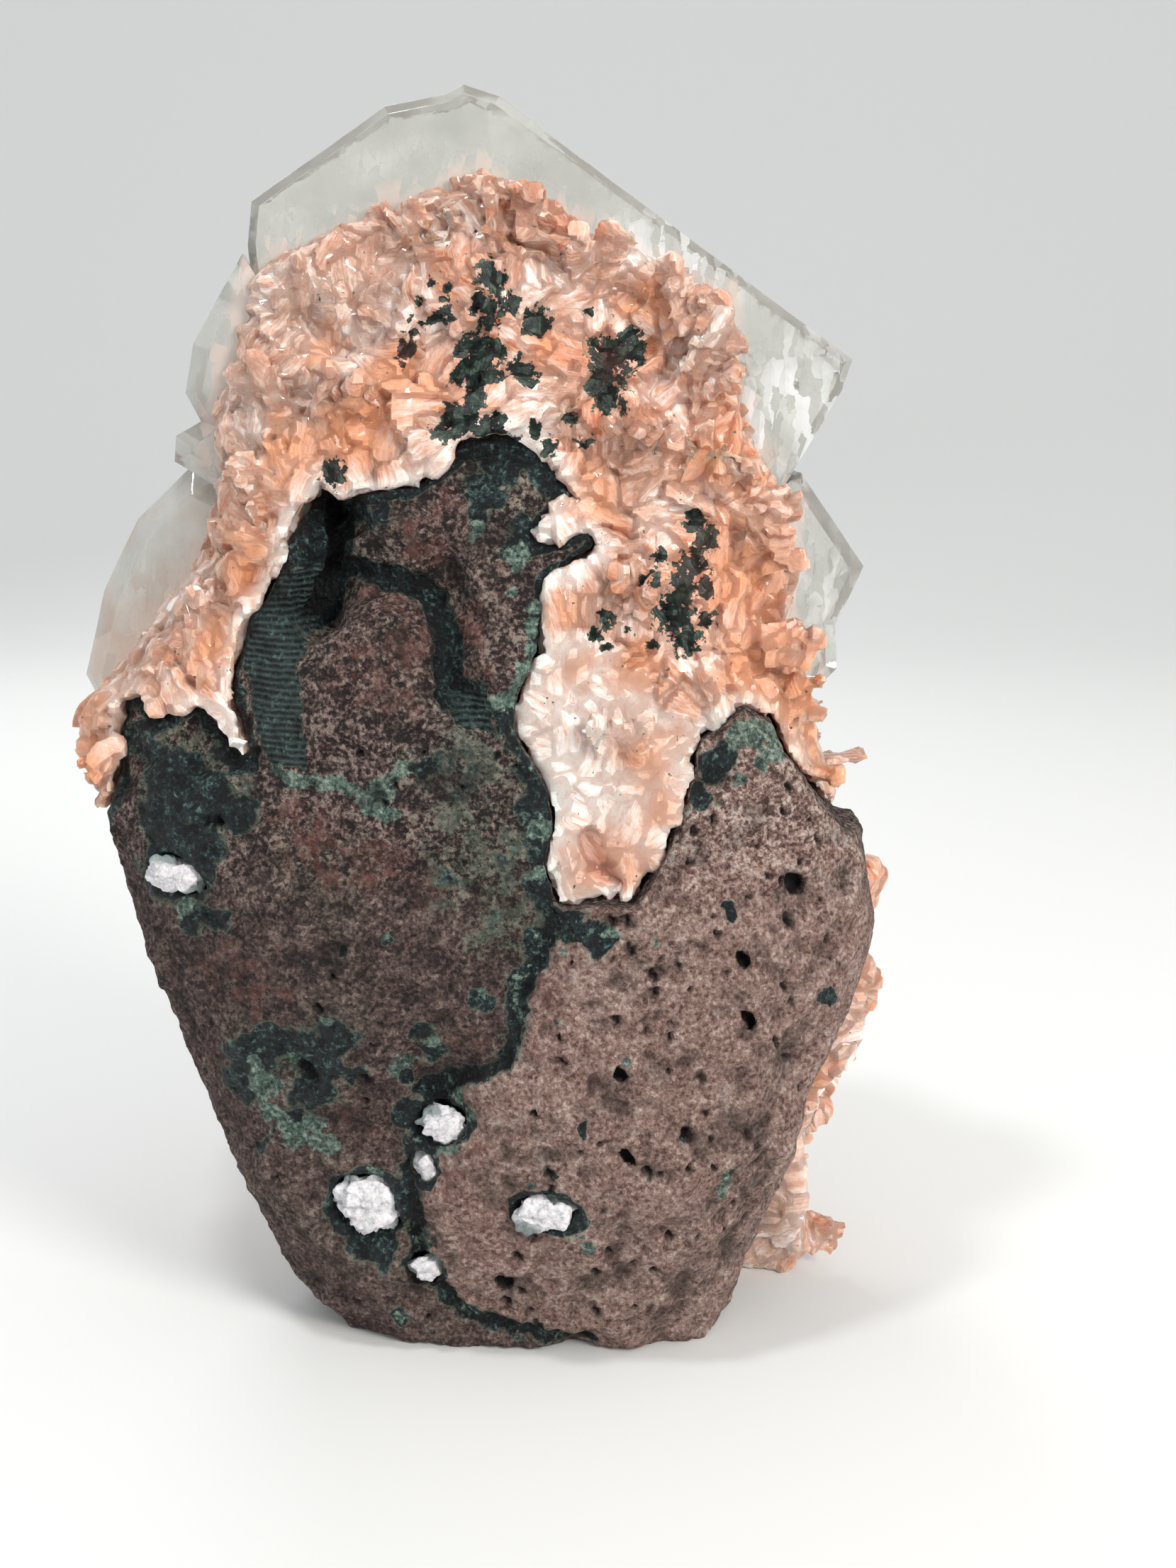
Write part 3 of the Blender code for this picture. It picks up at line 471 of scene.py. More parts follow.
def makeBasalt():
    piece = remeshedCopy("basalt", "basalt_rock", basalt["voxel"], basalt["smoothRounds"])
    mesh = piece.data
    points, normals = pointsOf(mesh), normalsOf(mesh)
    x, y, z = points.T
    facing = -normals[:, 1]
    front = smoothStep(0, 0.5, facing)
    (slow, fast), (slow2, fast2) = wavesAt(points, 3.2, 1.0)
    bentX, bentZ = x + 0.9 * slow + 0.45 * fast, z + 0.9 * slow2 + 0.45 * fast2
    littleX, littleZ = x + 0.3 * slow + 0.3 * fast, z + 0.3 * slow2 + 0.3 * fast2

    rise = np.zeros(len(points))
    for shift, name in enumerate(("lumps", "chips", "grain")):
        height, size = basalt[name]
        rise += height * noiseAt(points, size, 3, 2.0 + 9 * shift)
    rise *= 0.45 + 0.55 * smoothStep(0.15, 0.6, facing)  # the sides are worn smooth

    crack = lineBand(littleX, littleZ, crackLine, 0.2, 0.95) * front
    ring = lineBand(littleX, littleZ, ringLine, 0.6, 1.35) * front
    gap = lineBand(littleX, littleZ, gapLine, 0.2, 0.8) * front
    rise -= basalt["crackDepth"] * crack + basalt["ringDepth"] * ring + basalt["gapDepth"] * gap
    # fine level ridges where the wall of a stretched bubble broke away; the material draws them
    inRidges = [insideOutline(littleX, littleZ, patch) for patch in (striatedPatch, ringEndPatch)]
    ridges = np.any(inRidges, axis=0) * front
    rise -= basalt["ridgesDepth"] * ridges
    pit = np.zeros(len(x))
    for px, pz, radius in hollowPlaces():
        away = np.hypot((x - px) + 0.45 * (z - pz), (z - pz) * 0.62) / radius
        pit = np.maximum(pit, 1 - smoothStep(0.5, 1.1, away + 0.3 * fast))
    pit *= front
    rise -= basalt["pitDepth"] * pit

    points += normals * rise[:, None]
    filling = np.min([fillingReach(littleX, littleZ, place) for place in fillingPlaces.values()], axis=0)
    contact = nearestOnLine(littleX, littleZ, contactLine)[0]
    bare = 0.8 * smoothStep(3, 5, x) * smoothStep(60, 57, z)  # the lobe's edge has no green rim
    rim = (1 - smoothStep(0.3, 1.1, contact)) * front * (1 - bare)
    green = np.maximum.reduce([
        rim,
        smoothStep(3, 5, y + 0.9 * slow),
        patchesAt(bentX, bentZ, basalt["darkGreen"]) * front,
        crack,
        0.55 * lineBand(bentX, bentZ, crackLine, 0.5, 1.7) * front,
        lineBand(bentX, bentZ, besideTongueLine, 0.7, 2.0) * front,
        ring,
        lineBand(littleX, littleZ, gapLine, 0.9, 2.2) * front,
        ridges,
        (1 - smoothStep(1.1, 1.5, filling)) * front,
        0.36 * patchesAt(bentX, bentZ, basalt["mottled"]) * front,
    ])
    mint = np.maximum.reduce([
        patchesAt(bentX, bentZ, basalt["mint"]),
        lineBand(bentX, bentZ, paleLine, 0.2, 1.1),
        0.40 * lineBand(bentX, bentZ, crackLine, 0.5, 1.3),
        0.35 * lineBand(bentX, bentZ, besideTongueLine, 0.4, 1.6),
    ])
    # the round face on the right is paler and pinker: partly its own colour, where the dull skin broke away, partly
    # painted light, as light falls on it more; lower down a little painted light, lighter towards the bottom
    edge = np.interp(z, [0, 3, 10, 20, 26, 30, 42, 60], [4, -6, -11, -11, -8, -2, 2, 12])
    freshAndLit = np.maximum(smoothStep(-1.2, 1.6, x - edge + 0.8 * slow), 0.16 * smoothStep(34, 14, z))
    storeValues(mesh, {
        "darkGreen": green, "mint": mint * front, "rust": patchesAt(bentX, bentZ, basalt["rust"]) * front,
        "ridges": ridges, "pit": np.maximum(pit, 0.8 * gap), "hollow": 0.5 - rise / 0.9,
        "coarse": smoothStep(40, 50, z), "freshFace": freshAndLit * front,
    })
    points[:, 2] = np.maximum(points[:, 2], 0)
    setPoints(mesh, points)
    return piece


def basaltMaterial():
    # basalt, broken: dull fine grains, mauve brown from altered iron, pale felspar, and celadonite, a
    # dark blue-green clay mineral, with mint-coloured skins where bubbles and cracks are lined
    material, add, shader, mark = newMaterial(
        "amygdaloidal basalt, broken", "darkGreen", "mint", "rust", "pit", "hollow", "freshFace", "ridges", "coarse"
    )
    place = add("TexCoord").outputs["Object"]
    # grains are 0.3 to 0.8 mm, so the noise repeats about 2000 times a metre
    grain, medium, clouds = [
        add("TexNoise", {"Scale": scale, "Detail": detail, "Roughness": rough, "Vector": place})
        for scale, detail, rough in ((2500, 4, 0.7), (520, 6, 0.66), (85, 4, 0.55))
    ]
    crystals = add("TexVoronoi", {"Scale": 2700, "Vector": place})
    oneCrystal = add("SeparateColor", {"Color": crystals.outputs["Color"]})
    mixed = add("Math MULTIPLY_ADD", {0: oneCrystal.outputs["Red"], 1: 0.20, 2: grain})
    level = add("Math MULTIPLY_ADD", {0: medium, 1: 0.6, 2: -0.40})
    plain = add("Math ADD", {0: mixed, 1: level})
    # more contrast in the upper part
    contrast = add("Math MULTIPLY_ADD", {0: mark["coarse"], 1: 0.8, 2: 1})
    even = add("Math SUBTRACT", {0: plain, 1: 0.5})
    shade = add("Math MULTIPLY_ADD", {0: even, 1: contrast, 2: 0.49})
    skin = add("ValToRGB", {"Fac": shade, "stops": [
        (0.27, "#1A1211"), (0.40, "#3C2E2B"), (0.50, "#5A4844"), (0.61, "#78635E"), (0.78, "#A5938B"),
    ]})
    freshAndLit = add("ValToRGB", {"Fac": shade, "stops": [
        (0.27, "#583F3B"), (0.39, "#87695F"), (0.50, "#A1847A"), (0.61, "#BB9F95"), (0.77, "#DFCEC5"),
    ]})
    # the paler ramp on the right face is partly its own colour and partly painted light; lower down it is painted
    # light
    colour = add("Mix RGBA", {0: mark["freshFace"], 6: skin, 7: freshAndLit})
    # greyer clouds in the dull skin
    grey = add("MapRange SMOOTHSTEP", {"range": (0.45, 0.65, 0, 0.35), "Value": clouds})
    inSkin = add("MapRange", {"range": (0, 1, 1, 0.12), "Value": mark["freshFace"]})
    grey = add("Math MULTIPLY", {0: grey, 1: inSkin})
    colour = add("Mix RGBA", {"blend_type": "COLOR", 0: grey, 6: colour, 7: "#5F5C50"})
    red = add("MapRange SMOOTHSTEP", {"range": (0.45, 0.62, 0, 0.75), "Value": medium})
    red = add("Math MULTIPLY", {0: mark["rust"], 1: red})

    # the green minerals fill fine cracks first, so their edges follow the grains
    ragged = add("Math MULTIPLY_ADD", {0: medium, 1: 1.5, 2: -0.75})
    ragged = add("Math MULTIPLY_ADD", {0: grain, 1: 0.7, 2: ragged})
    greenSum = add("Math ADD", {0: mark["darkGreen"], 1: ragged})
    green = add("MapRange SMOOTHSTEP", {"range": (0.72, 0.92, 0, 1), "Value": greenSum})
    greenShade = add("ValToRGB", {"Fac": plain, "stops": [
        (0.28, "#030507"), (0.41, "#080E11"), (0.50, "#121D22"), (0.60, "#263A3C"), (0.74, "#66857B"),
    ]})
    mintSum = add("Math ADD", {0: mark["mint"], 1: ragged})
    mint = add("MapRange SMOOTHSTEP", {"range": (0.82, 1.06, 0, 0.9), "Value": mintSum})
    mintShade = add("ValToRGB", {"Fac": plain, "stops": [
        (0.28, "#22322E"), (0.43, "#4A635A"), (0.56, "#758E81"), (0.76, "#B9CBBB"),
    ]})
    # a thin mint line where green meets brown
    line = add("MapRange", {"range": (0.60, 0.74, 0, 1), "Value": greenSum})
    line = add("Math SUBTRACT", {"use_clamp": True, 0: line, 1: green})
    line = add("Math MULTIPLY", {0: line, 1: 0.30})
    # ridges 0.5 mm apart where a stretched bubble's wall broke away
    ridge = add("TexWave", {
        "wave_type": "BANDS", "bands_direction": "Z", "Vector": place,
        "Scale": 600, "Distortion": 2.4, "Detail": 3, "Detail Scale": 0.9,
    })
    ridge = add("Math MULTIPLY", {0: mark["ridges"], 1: ridge.outputs["Fac"]})
    ridge = add("Math MULTIPLY", {0: ridge, 1: 0.5})
    # painted shade: the deeper a hollow lies, the darker it is painted, as shade falls in it; less so in the green
    sunk = add("MapRange", {"range": (0.52, 0.98, 0, 0.7), "Value": mark["hollow"]})
    lessInGreen = add("MapRange", {"range": (0, 1, 1, 0.45), "Value": green})
    sunk = add("Math MULTIPLY", {0: sunk, 1: lessInGreen})
    # share and colour of each layer, from the lowest
    # the pits and the gap get a near-black colour: painted shade inside the holes
    for share, over in (
        (red, "#6F3F38"), (green, greenShade), (mint, mintShade), (line, "#7F9C84"),
        (ridge, "#5F7874"), (sunk, "#17110F"), (mark["pit"], "#0C0909"),
    ):
        colour = add("Mix RGBA", {0: share, 6: colour, 7: over})

    roughness = add("MapRange", {"range": (0, 1, 0.85, 0.5), "Value": green})
    height = add("Math MULTIPLY_ADD", {0: medium, 1: 0.7, 2: mixed})
    height = add("Math ADD", {0: ridge, 1: height})
    bump = add("Bump", {"Strength": 1, "Distance": 0.0011, "Height": height})
    setNode(shader, {"Base Color": colour, "Roughness": roughness, "Specular IOR Level": 0.4, "Normal": bump})
    return material


rock = makeBasalt()
finishPiece(rock, ["basalt"], basaltMaterial())

# heulandite: the crust

crust = {
    "voxel": 0.42,
    "smoothRounds": 2,
    "swell": 0.12,
    "lumps": (0.55, 5.5),
    "fine": (0.12, 1),
    # broken blades that make up the surface: spacing, half length and half width in mm, height of their steps
    "shards": {"spacing": 2.3, "halfLength": (1.6, 5.2), "halfWidth": (0.6, 2), "step": 0.34, "tilt": 0.34, "seed": 5},
    "fanSize": 8.5,
    "outward": 2.2,  # how much the blades turn away from the rock
    "edgeSwell": 0.8,
    "notchDepth": 1.3,
    "islandDepth": 0.3,
    "kept": 0.66,  # share of the triangles that stay
    "sharpFrom": 30,  # degrees
    # dark remains of rock in the crust (x, z, radius)
    "islands": [
        (-5.4, 82.3, 0.9), (-4.2, 82, 0.9), (-6.5, 81.7, 0.7), (-3.2, 81.8, 0.6), (-4.4, 97.5, 0.3),
        (-3.7, 95.5, 0.25), (-3.7, 94.7, 0.4), (-3.4, 94, 0.9), (-4.1, 94, 0.6), (-2.8, 93.6, 0.6), (-8.8, 93.4, 0.5),
        (-7.3, 92.8, 0.5), (-7.8, 92.3, 0.3), (-7.4, 91, 0.7), (-7.9, 90.8, 0.5), (-6.9, 90.6, 0.4),
        (-4.2, 92.1, 0.8), (-3.4, 91.8, 0.9), (-4.5, 91.4, 0.6), (-3.7, 90.2, 0.8), (-2.5, 91.5, 0.8),
        (-1.6, 91.9, 0.7), (0.2, 90.4, 1.1), (-0.4, 89.9, 0.7), (0.7, 89.7, 0.7), (-9.5, 91.8, 0.3),
        (-9.6, 90.4, 0.4), (-10, 89.4, 0.5), (-10.5, 88.5, 0.8), (-10.9, 87.6, 0.7), (-10.1, 87.8, 0.4),
        (-5.8, 88.1, 0.8), (-4.6, 88.1, 1.2), (-3.3, 87.8, 0.9), (-5.5, 86.6, 1.2), (-4.3, 86.2, 1.4),
        (-3.1, 86, 0.7), (-6.3, 85.8, 0.7), (-4.6, 84.9, 1), (-5, 84, 0.9), (-5.4, 83.3, 0.7), (-6.9, 82.8, 0.8),
        (-6.1, 82.5, 0.9), (-7.2, 81.8, 0.9), (-8, 81.4, 0.5), (-6.4, 81.6, 0.9), (-1.6, 86.5, 0.8),
        (-0.7, 86.2, 0.9), (0, 85.8, 0.5), (-1.3, 87.3, 0.4), (0, 85, 0.3), (-3.1, 82.6, 0.5), (-2.5, 82.6, 0.4),
        (-0.1, 82.2, 0.5), (0.3, 81.4, 0.6), (-2.9, 81, 1), (-4, 81.2, 0.9), (-1.8, 80.9, 0.7), (6.4, 87.3, 1.9),
        (7.9, 88.2, 1.4), (5.8, 85, 1.5), (6.6, 83.6, 0.9), (2.9, 82.4, 0.6), (4.2, 80.6, 0.6), (1.4, 80.4, 0.7),
        (13.4, 74.2, 1), (14.2, 72.4, 1), (13.2, 70.6, 1.2), (12.2, 68.9, 1.1), (10.2, 71.4, 0.7), (11.6, 66.6, 1.7),
        (12.6, 64.4, 1.2), (14.4, 68.6, 0.9), (14.4, 66.2, 0.8), (9.6, 69.8, 0.6), (6.2, 66.6, 0.7), (5.2, 65.2, 0.5),
        (5.8, 64.2, 0.5), (9.8, 64, 0.5), (8, 65.4, 0.35), (4.6, 91, 0.4), (-16.4, 78.2, 1.1),
    ],
    # the smooth split face of the tongue between the two rock faces
    "tongue": [
        (1, 66), (1, 63), (-1, 59), (-0.5, 55), (2, 50), (1.5, 46), (2.5, 43), (8.5, 43), (11, 47), (12.5, 52),
        (13, 57), (9, 62), (4, 66),
    ],
    "tongueNotch": [(4.6, 48.2), (5.3, 45.8), (6.6, 44.6)],
    "beige": [  # greyer and more see-through, over clear crystal
        (-19, 92, 6), (-23, 86, 4.5), (-14, 95, 4.5), (-26, 79, 3), (-36, 60, 4), (-30, 67, 3), (9, 96, 4),
        (16, 90, 3),
    ],
    "orange": [  # deeper colour (x, z, radius)
        (-33, 56.5, 4), (-38, 52.5, 4), (-39, 58, 2.6), (-24, 71, 2.4), (22, 60, 3.6), (25, 53.5, 3.6), (28, 48, 3),
        (14, 79, 2.4), (-17, 88.5, 1.4), (1.6, 87.6, 1.2), (9, 92, 1.6), (-11, 86, 2.6), (6.6, 86.6, 1.2),
        (6, 46, 3.2), (8.5, 45.6, 2.2), (-22, 63, 2.6), (-27, 64, 2.4), (-14.4, 82, 2.8), (9.4, 55.5, 2.8),
        (3.4, 62, 1.6), (8.5, 62, 2), (10.4, 50.5, 2.4), (17, 70, 3.6), (19, 62, 3.2), (21, 57, 3), (2.2, 66.6, 1.6),
        (4.6, 76.6, 2.4), (24, 50, 3), (27.5, 41, 3), (26, 31, 3.4), (24.5, 21, 3.4), (-20, 80, 2.4),
    ],
}


def shardsOf(points, normals, outward, choice):
    # each point of the surface belongs to the broken blade that it lies on: its height, tone and grain
    dice = np.random.default_rng(choice["seed"])
    cell = crust["voxel"] ** 2 * coarserArea
    seeds, roots = [
        dice.choice(len(points), int(len(points) * cell / spacing ** 2), replace=False)
        for spacing in (choice["spacing"], crust["fanSize"])
    ]
    spot, up = points[seeds], normals[seeds]
    rootTree = pointTree(points[roots])
    fan = np.array([rootTree.find(Vector(p))[0] for p in spot])
    heading = spot - fan + crust["outward"] * outward[seeds] + dice.normal(0, 0.5, (len(seeds), 3))
    heading -= np.sum(heading * up, axis=1)[:, None] * up
    heading /= np.linalg.norm(heading, axis=1)[:, None] + 1e-9
    sideways = np.cross(up, heading)
    halfLength = dice.uniform(*choice["halfLength"], len(seeds))
    halfWidth = dice.uniform(*choice["halfWidth"], len(seeds))
    base = dice.normal(0, choice["step"], len(seeds))
    tiltAcross = dice.uniform(-choice["tilt"], choice["tilt"], len(seeds))
    tiltAlong = dice.uniform(-0.10, 0.22, len(seeds))
    tone = dice.uniform(0, 1, len(seeds))

    # of the eight nearest blades, the two that reach the point best
    seedTree = pointTree(spot)
    near = np.array([[index for _, index, _ in seedTree.find_n(Vector(p), 8)] for p in points])
    offset = points[:, None, :] - spot[near]
    along, across, above = [np.sum(offset * axis[near], axis=2) for axis in (heading, sideways, up)]
    reach = np.sqrt((along / halfLength[near]) ** 2 + (across / halfWidth[near]) ** 2 + (above / 1.5) ** 2)
    first, second = np.argsort(reach, axis=1)[:, :2].T
    rows = np.arange(len(points))
    between = reach[rows, second] - reach[rows, first]
    height = np.clip(base[near] + across * tiltAcross[near] + along * tiltAlong[near], -0.9, 0.9)
    share = 0.5 + 0.5 * smoothStep(0, 0.07, between)
    rise = height[rows, first] * share + height[rows, second] * (1 - share)
    tone = tone[near[rows, first]]
    grain = np.stack([along[rows, first] * 0.22, across[rows, first], tone * 90], axis=1)
    return rise, 1 - smoothStep(0, 0.16, between), tone, grain


def crustMarks(points, normals):
    # what the crust is made of at each point of its broken face, 0 to 1
    x, y, z = points.T
    front = smoothStep(0, 0.5, -normals[:, 1]) * smoothStep(5, 1, y)
    (slow, fast), (slow2, fast2) = wavesAt(points, 2.6, 0.9)
    littleX, littleZ = x + 0.35 * slow + 0.4 * fast, z + 0.35 * slow2 + 0.4 * fast2
    wideX, wideZ = x + 1.5 * slow, z + 1.5 * slow2
    contact, nearX, nearZ = nearestOnLine(x, z, contactLine)
    outward = np.stack([x - nearX, np.zeros(len(x)), z - nearZ], axis=1) / (contact[:, None] + 0.2)
    marks = {
        "tongue": insideOutline(x + slow, z + slow2, crust["tongue"]),
        "fringe": 1 - smoothStep(0.4, 2.1, contact + 0.8 * slow),
        "island": patchesAt(littleX, littleZ, crust["islands"], 0.75),
        "orange": patchesAt(wideX, wideZ, crust["orange"], 0.8),
        "notch": lineBand(x, z, crust["tongueNotch"], 0.2, 1.3),
    }
    marks = {name: values * front for name, values in marks.items()}
    marks["beige"] = patchesAt(wideX, wideZ, crust["beige"], 0.7)
    return marks, slow, outward * (front * (1 - smoothStep(6, 14, contact)))[:, None]


def makeCrust():
    piece = remeshedCopy("heulandite_crust", "heulandite_crust_body", crust["voxel"], crust["smoothRounds"])
    mesh = piece.data
    points, normals = pointsOf(mesh), normalsOf(mesh)
    x, y, z = points.T
    marks, slow, outward = crustMarks(points, normals)
    rise, seam, tone, grain = shardsOf(points, normals, outward, crust["shards"])
    rightEdge = smoothStep(18, 21, x) * smoothStep(72, 62, z)
    calm = 1 - np.maximum.reduce([
        0.85 * marks["tongue"], 0.5 * marks["fringe"], 0.55 * marks["beige"], 0.6 * rightEdge,
    ])
    rise = rise * calm + crust["swell"]
    for shift, name in enumerate(("lumps", "fine")):
        height, size = crust[name]
        rise += height * noiseAt(points, size, 3, 3.0 + 8 * shift)
    rise -= crust["notchDepth"] * marks["notch"] + crust["islandDepth"] * marks["island"]
    # the narrow edge of crust on the lower right stands a little proud of the rock
    rise += crust["edgeSwell"] * smoothStep(15, 19, x) * smoothStep(47, 41, z) * smoothStep(4, 9, z)
    points += normals * rise[:, None]
    points[:, 2] = np.maximum(points[:, 2], 0)
    setPoints(mesh, points)
    storeValues(mesh, {"seam": seam * calm, "tone": tone, "notch": marks["notch"]})
    storeGrain(mesh, grain)

    # fewer triangles where the surface is even
    piece.modifiers.new("fewer", "DECIMATE").ratio = crust["kept"]
    piece = plainMesh(piece, "heulandite_crust_body")
    mesh = piece.data
    points, normals = pointsOf(mesh), normalsOf(mesh)
    x, y, z = points.T
    marks, slow, _ = crustMarks(points, normals)
    clearAway = distanceTo(surfaceTree(clear["nodes"]), points, 5.0)
    rockAway = distanceTo(surfaceTree(["basalt"]), points, 4.0)
    # blades stand free on the display side only, away from what they would run into
    display = np.maximum(smoothStep(0.2, 0.6, normals[:, 1]) * smoothStep(4, 9, y), smoothStep(9, 13, y))
    boxGap = np.min([x - cadBox[0][0] / mm, cadBox[1][0] / mm - x, cadBox[1][1] / mm - y], axis=0)
    narrow = smoothStep(25, 27, x) * smoothStep(46, 49, z) * smoothStep(61, 58, z)
    growth = smoothStep(0.7, 1.6, clearAway) * smoothStep(1.0, 2.4, rockAway) * smoothStep(1.2, 3.2, boxGap)
    growth *= smoothStep(2.5, 5, z) * display * (1 - narrow)
    byClear = 0.8 * (1 - smoothStep(0.6, 4.5, clearAway + slow))
    orange = marks["orange"]
    storeValues(mesh, {
        "growth": growth, "stand": display, "island": marks["island"], "orange": orange,
        "fringe": np.maximum(marks["fringe"], 0.7 * marks["tongue"]) * (1 - 0.7 * orange),
        "beige": np.maximum(marks["beige"], byClear),
    })
    mesh.set_sharp_from_angle(angle=math.radians(crust["sharpFrom"]))
    return piece


# heulandite: the blades that stand free

blades = {
    "large": {
        "millimetres": {
            "Spacing": 2.9, "Length": 4.4, "Width": 2.5, "Thickness": 0.85, "Sink": 1.1, "Fan size": 8.0,
        },
        "plain": {"Lift": 0.9, "Seed": 3},
        "behind": 9,  # no blades in front of this place, mm
    },
    "small": {
        "millimetres": {
            "Spacing": 1.5, "Length": 2.7, "Width": 1.5, "Thickness": 0.5, "Sink": 0.7, "Fan size": 8.0,
        },
        "plain": {"Lift": 0.8, "Seed": 8},
        "behind": 3,
    },
    "lowest": 0.2,  # above the ground, mm
}


def bladeShapes():
    # coffin-shaped tablets with blunt, slanting and pointed ends, one unit long, wide and thick
    outlines = {
        "blunt": [(-0.30, 0), (0.30, 0), (0.5, 0.55), (0.34, 1.0), (-0.34, 1.0), (-0.5, 0.55)],
        "slanting": [(-0.32, 0), (0.32, 0), (0.5, 0.6), (0.42, 0.82), (-0.2, 1.0), (-0.5, 0.7)],
        "pointed": [(-0.28, 0), (0.28, 0), (0.5, 0.5), (0.16, 1.0), (-0.12, 1.0), (-0.46, 0.6)],
    }
    group = bpy.data.collections.new("blade shapes")
    for name, outline in outlines.items():
        bm = bmesh.new()
        upLayer = bm.verts.layers.float.new("along")
        rings = []
        for side, share in ((-0.5, 0.86), (0, 1.0), (0.5, 0.86)):
            ring = []
            for across, up in outline:
                ring.append(bm.verts.new((across * share, side, 0.5 + (up - 0.5) * (share * 0.35 + 0.65))))
                ring[-1][upLayer] = up
            rings.append(ring)
        for low, high in zip(rings, rings[1:]):
            for i in range(6):
                j = (i + 1) % 6
                bm.faces.new((low[i], low[j], high[j], high[i]))
        bm.faces.new(rings[0])
        bm.faces.new(rings[2][::-1])
        bmesh.ops.recalc_face_normals(bm, faces=bm.faces[:])
        mesh = bpy.data.meshes.new(name)
        bm.to_mesh(mesh)
        bm.free()
        group.objects.link(bpy.data.objects.new("blade " + name, mesh))
    return group


def bladeTree(shapes, material):
    tree = bpy.data.node_groups.new("blades in fans", "GeometryNodeTree")
    add = functools.partial(addNode, tree)
    for name in ("Geometry", "Spacing", "Length", "Width", "Thickness", "Lift", "Sink", "Fan size", "Seed"):
        kind = {"Geometry": "Geometry", "Seed": "Int"}.get(name, "Float")
        tree.interface.new_socket(name, in_out="INPUT", socket_type="NodeSocket" + kind)
    tree.interface.new_socket("Geometry", in_out="OUTPUT", socket_type="NodeSocketGeometry")
    given = add("NodeGroupInput").outputs
    growth, stand = [
        add("GeometryNodeInputNamedAttribute", {"data_type": "FLOAT", "Name": name}) for name in ("growth", "stand")
    ]
    spread = add("GeometryNodeDistributePointsOnFaces", {
        "distribute_method": "POISSON", "Mesh": given["Geometry"], "Distance Min": given["Spacing"],
        "Density Max": 4.0e6, "Density Factor": growth, "Seed": given["Seed"],
    })
    # from the middle of the fan outwards, lifted along the surface's normal where blades stand free
    place = add("GeometryNodeInputPosition")
    fanCount = add("Math DIVIDE", {0: 1, 1: given["Fan size"]})
    fans = add("TexVoronoi", {"Vector": place, "Scale": fanCount})
    outward = add("VectorMath SUBTRACT", {0: place, 1: fans.outputs["Position"]})
    outward = add("VectorMath NORMALIZE", {0: outward})
    standMore = add("Math MULTIPLY_ADD", {0: stand, 1: 0.85, 2: 0.15})
    lift = add("Math MULTIPLY", {0: given["Lift"], 1: standMore})
    lifted = add("VectorMath SCALE", {0: spread.outputs["Normal"], "Scale": lift})
    direction = add("VectorMath ADD", {0: outward, 1: lifted})
    shake = add("FunctionNodeRandomValue", {
        "data_type": "FLOAT_VECTOR", 0: (-0.3, -0.3, -0.3), 1: (0.3, 0.3, 0.3), "Seed": given["Seed"],
    })
    shaken = add("VectorMath ADD", {0: direction, 1: shake})
    # the blades of one fan lie like the leaves of a book, so their flat sides share a direction
    leafSide = add("VectorMath SUBTRACT", {0: fans.outputs["Color"], 1: (0.5, 0.5, 0.5)})
    leafShake = add("VectorMath MULTIPLY_ADD", {0: shake, 1: (0.6, 0.6, 0.6), 2: leafSide})
    upright = add("FunctionNodeAlignRotationToVector", {"axis": "Z", "Vector": shaken})
    turned = add("FunctionNodeAlignRotationToVector", {
        "axis": "Y", "pivot_axis": "Z", "Rotation": upright, "Vector": leafShake,
    })
    size = add("CombineXYZ", {"X": given["Width"], "Y": given["Thickness"], "Z": given["Length"]})
    vary = add("FunctionNodeRandomValue", {
        "data_type": "FLOAT_VECTOR", 0: (0.6, 0.7, 0.55), 1: (1.3, 1.25, 1.2), "Seed": given["Seed"],
    })
    varied = add("VectorMath MULTIPLY", {0: size, 1: vary})
    smaller = add("Math MULTIPLY_ADD", {0: stand, 1: 0.3, 2: 0.7})
    sized = add("VectorMath SCALE", {0: varied, "Scale": smaller})
    sink = add("Math MULTIPLY", {0: given["Sink"], 1: -1})
    sunk = add("VectorMath SCALE", {0: spread.outputs["Normal"], "Scale": sink})
    rooted = add("GeometryNodeSetPosition", {"Geometry": spread, "Offset": sunk})
    group = add("GeometryNodeCollectionInfo", {
        "Collection": shapes, "Separate Children": True, "Reset Children": True,
    })
    placed = add("GeometryNodeInstanceOnPoints", {
        "Points": rooted, "Instance": group, "Pick Instance": True, "Rotation": turned, "Scale": sized,
    })
    tone = add("FunctionNodeRandomValue", {"data_type": "FLOAT", "Seed": given["Seed"]})
    toned = add("GeometryNodeStoreNamedAttribute", {
        "data_type": "FLOAT", "domain": "INSTANCE", "Geometry": placed, "Name": "tone", "Value": tone,
    })
    real = add("GeometryNodeRealizeInstances", {"Geometry": toned})
    painted = add("GeometryNodeSetMaterial", {"Geometry": real, "Material": material})
    add("NodeGroupOutput", {"Geometry": painted})
    return tree


def growBlades(base, name, tree, choice):
    source = newObject(name + "_source", base.data.copy())
    stored = source.data.attributes["growth"].data
    growth = np.zeros(len(stored), np.float32)
    stored.foreach_get("value", growth)
    growth *= smoothStep(choice["behind"], choice["behind"] + 4, pointsOf(source.data)[:, 1])
    stored.foreach_set("value", growth)
    modifier = source.modifiers.new("blades", "NODES")
    modifier.node_group = tree
    settings = {name: size * mm for name, size in choice["millimetres"].items()} | choice["plain"]
    for item in tree.interface.items_tree:
        if item.in_out == "INPUT" and item.name in settings:
            modifier[item.identifier] = settings[item.name]
    piece = plainMesh(source, name)
    points = pointsOf(piece.data)
    points[:, 2] = np.maximum(points[:, 2], blades["lowest"])
    setPoints(piece.data, points)
    return piece


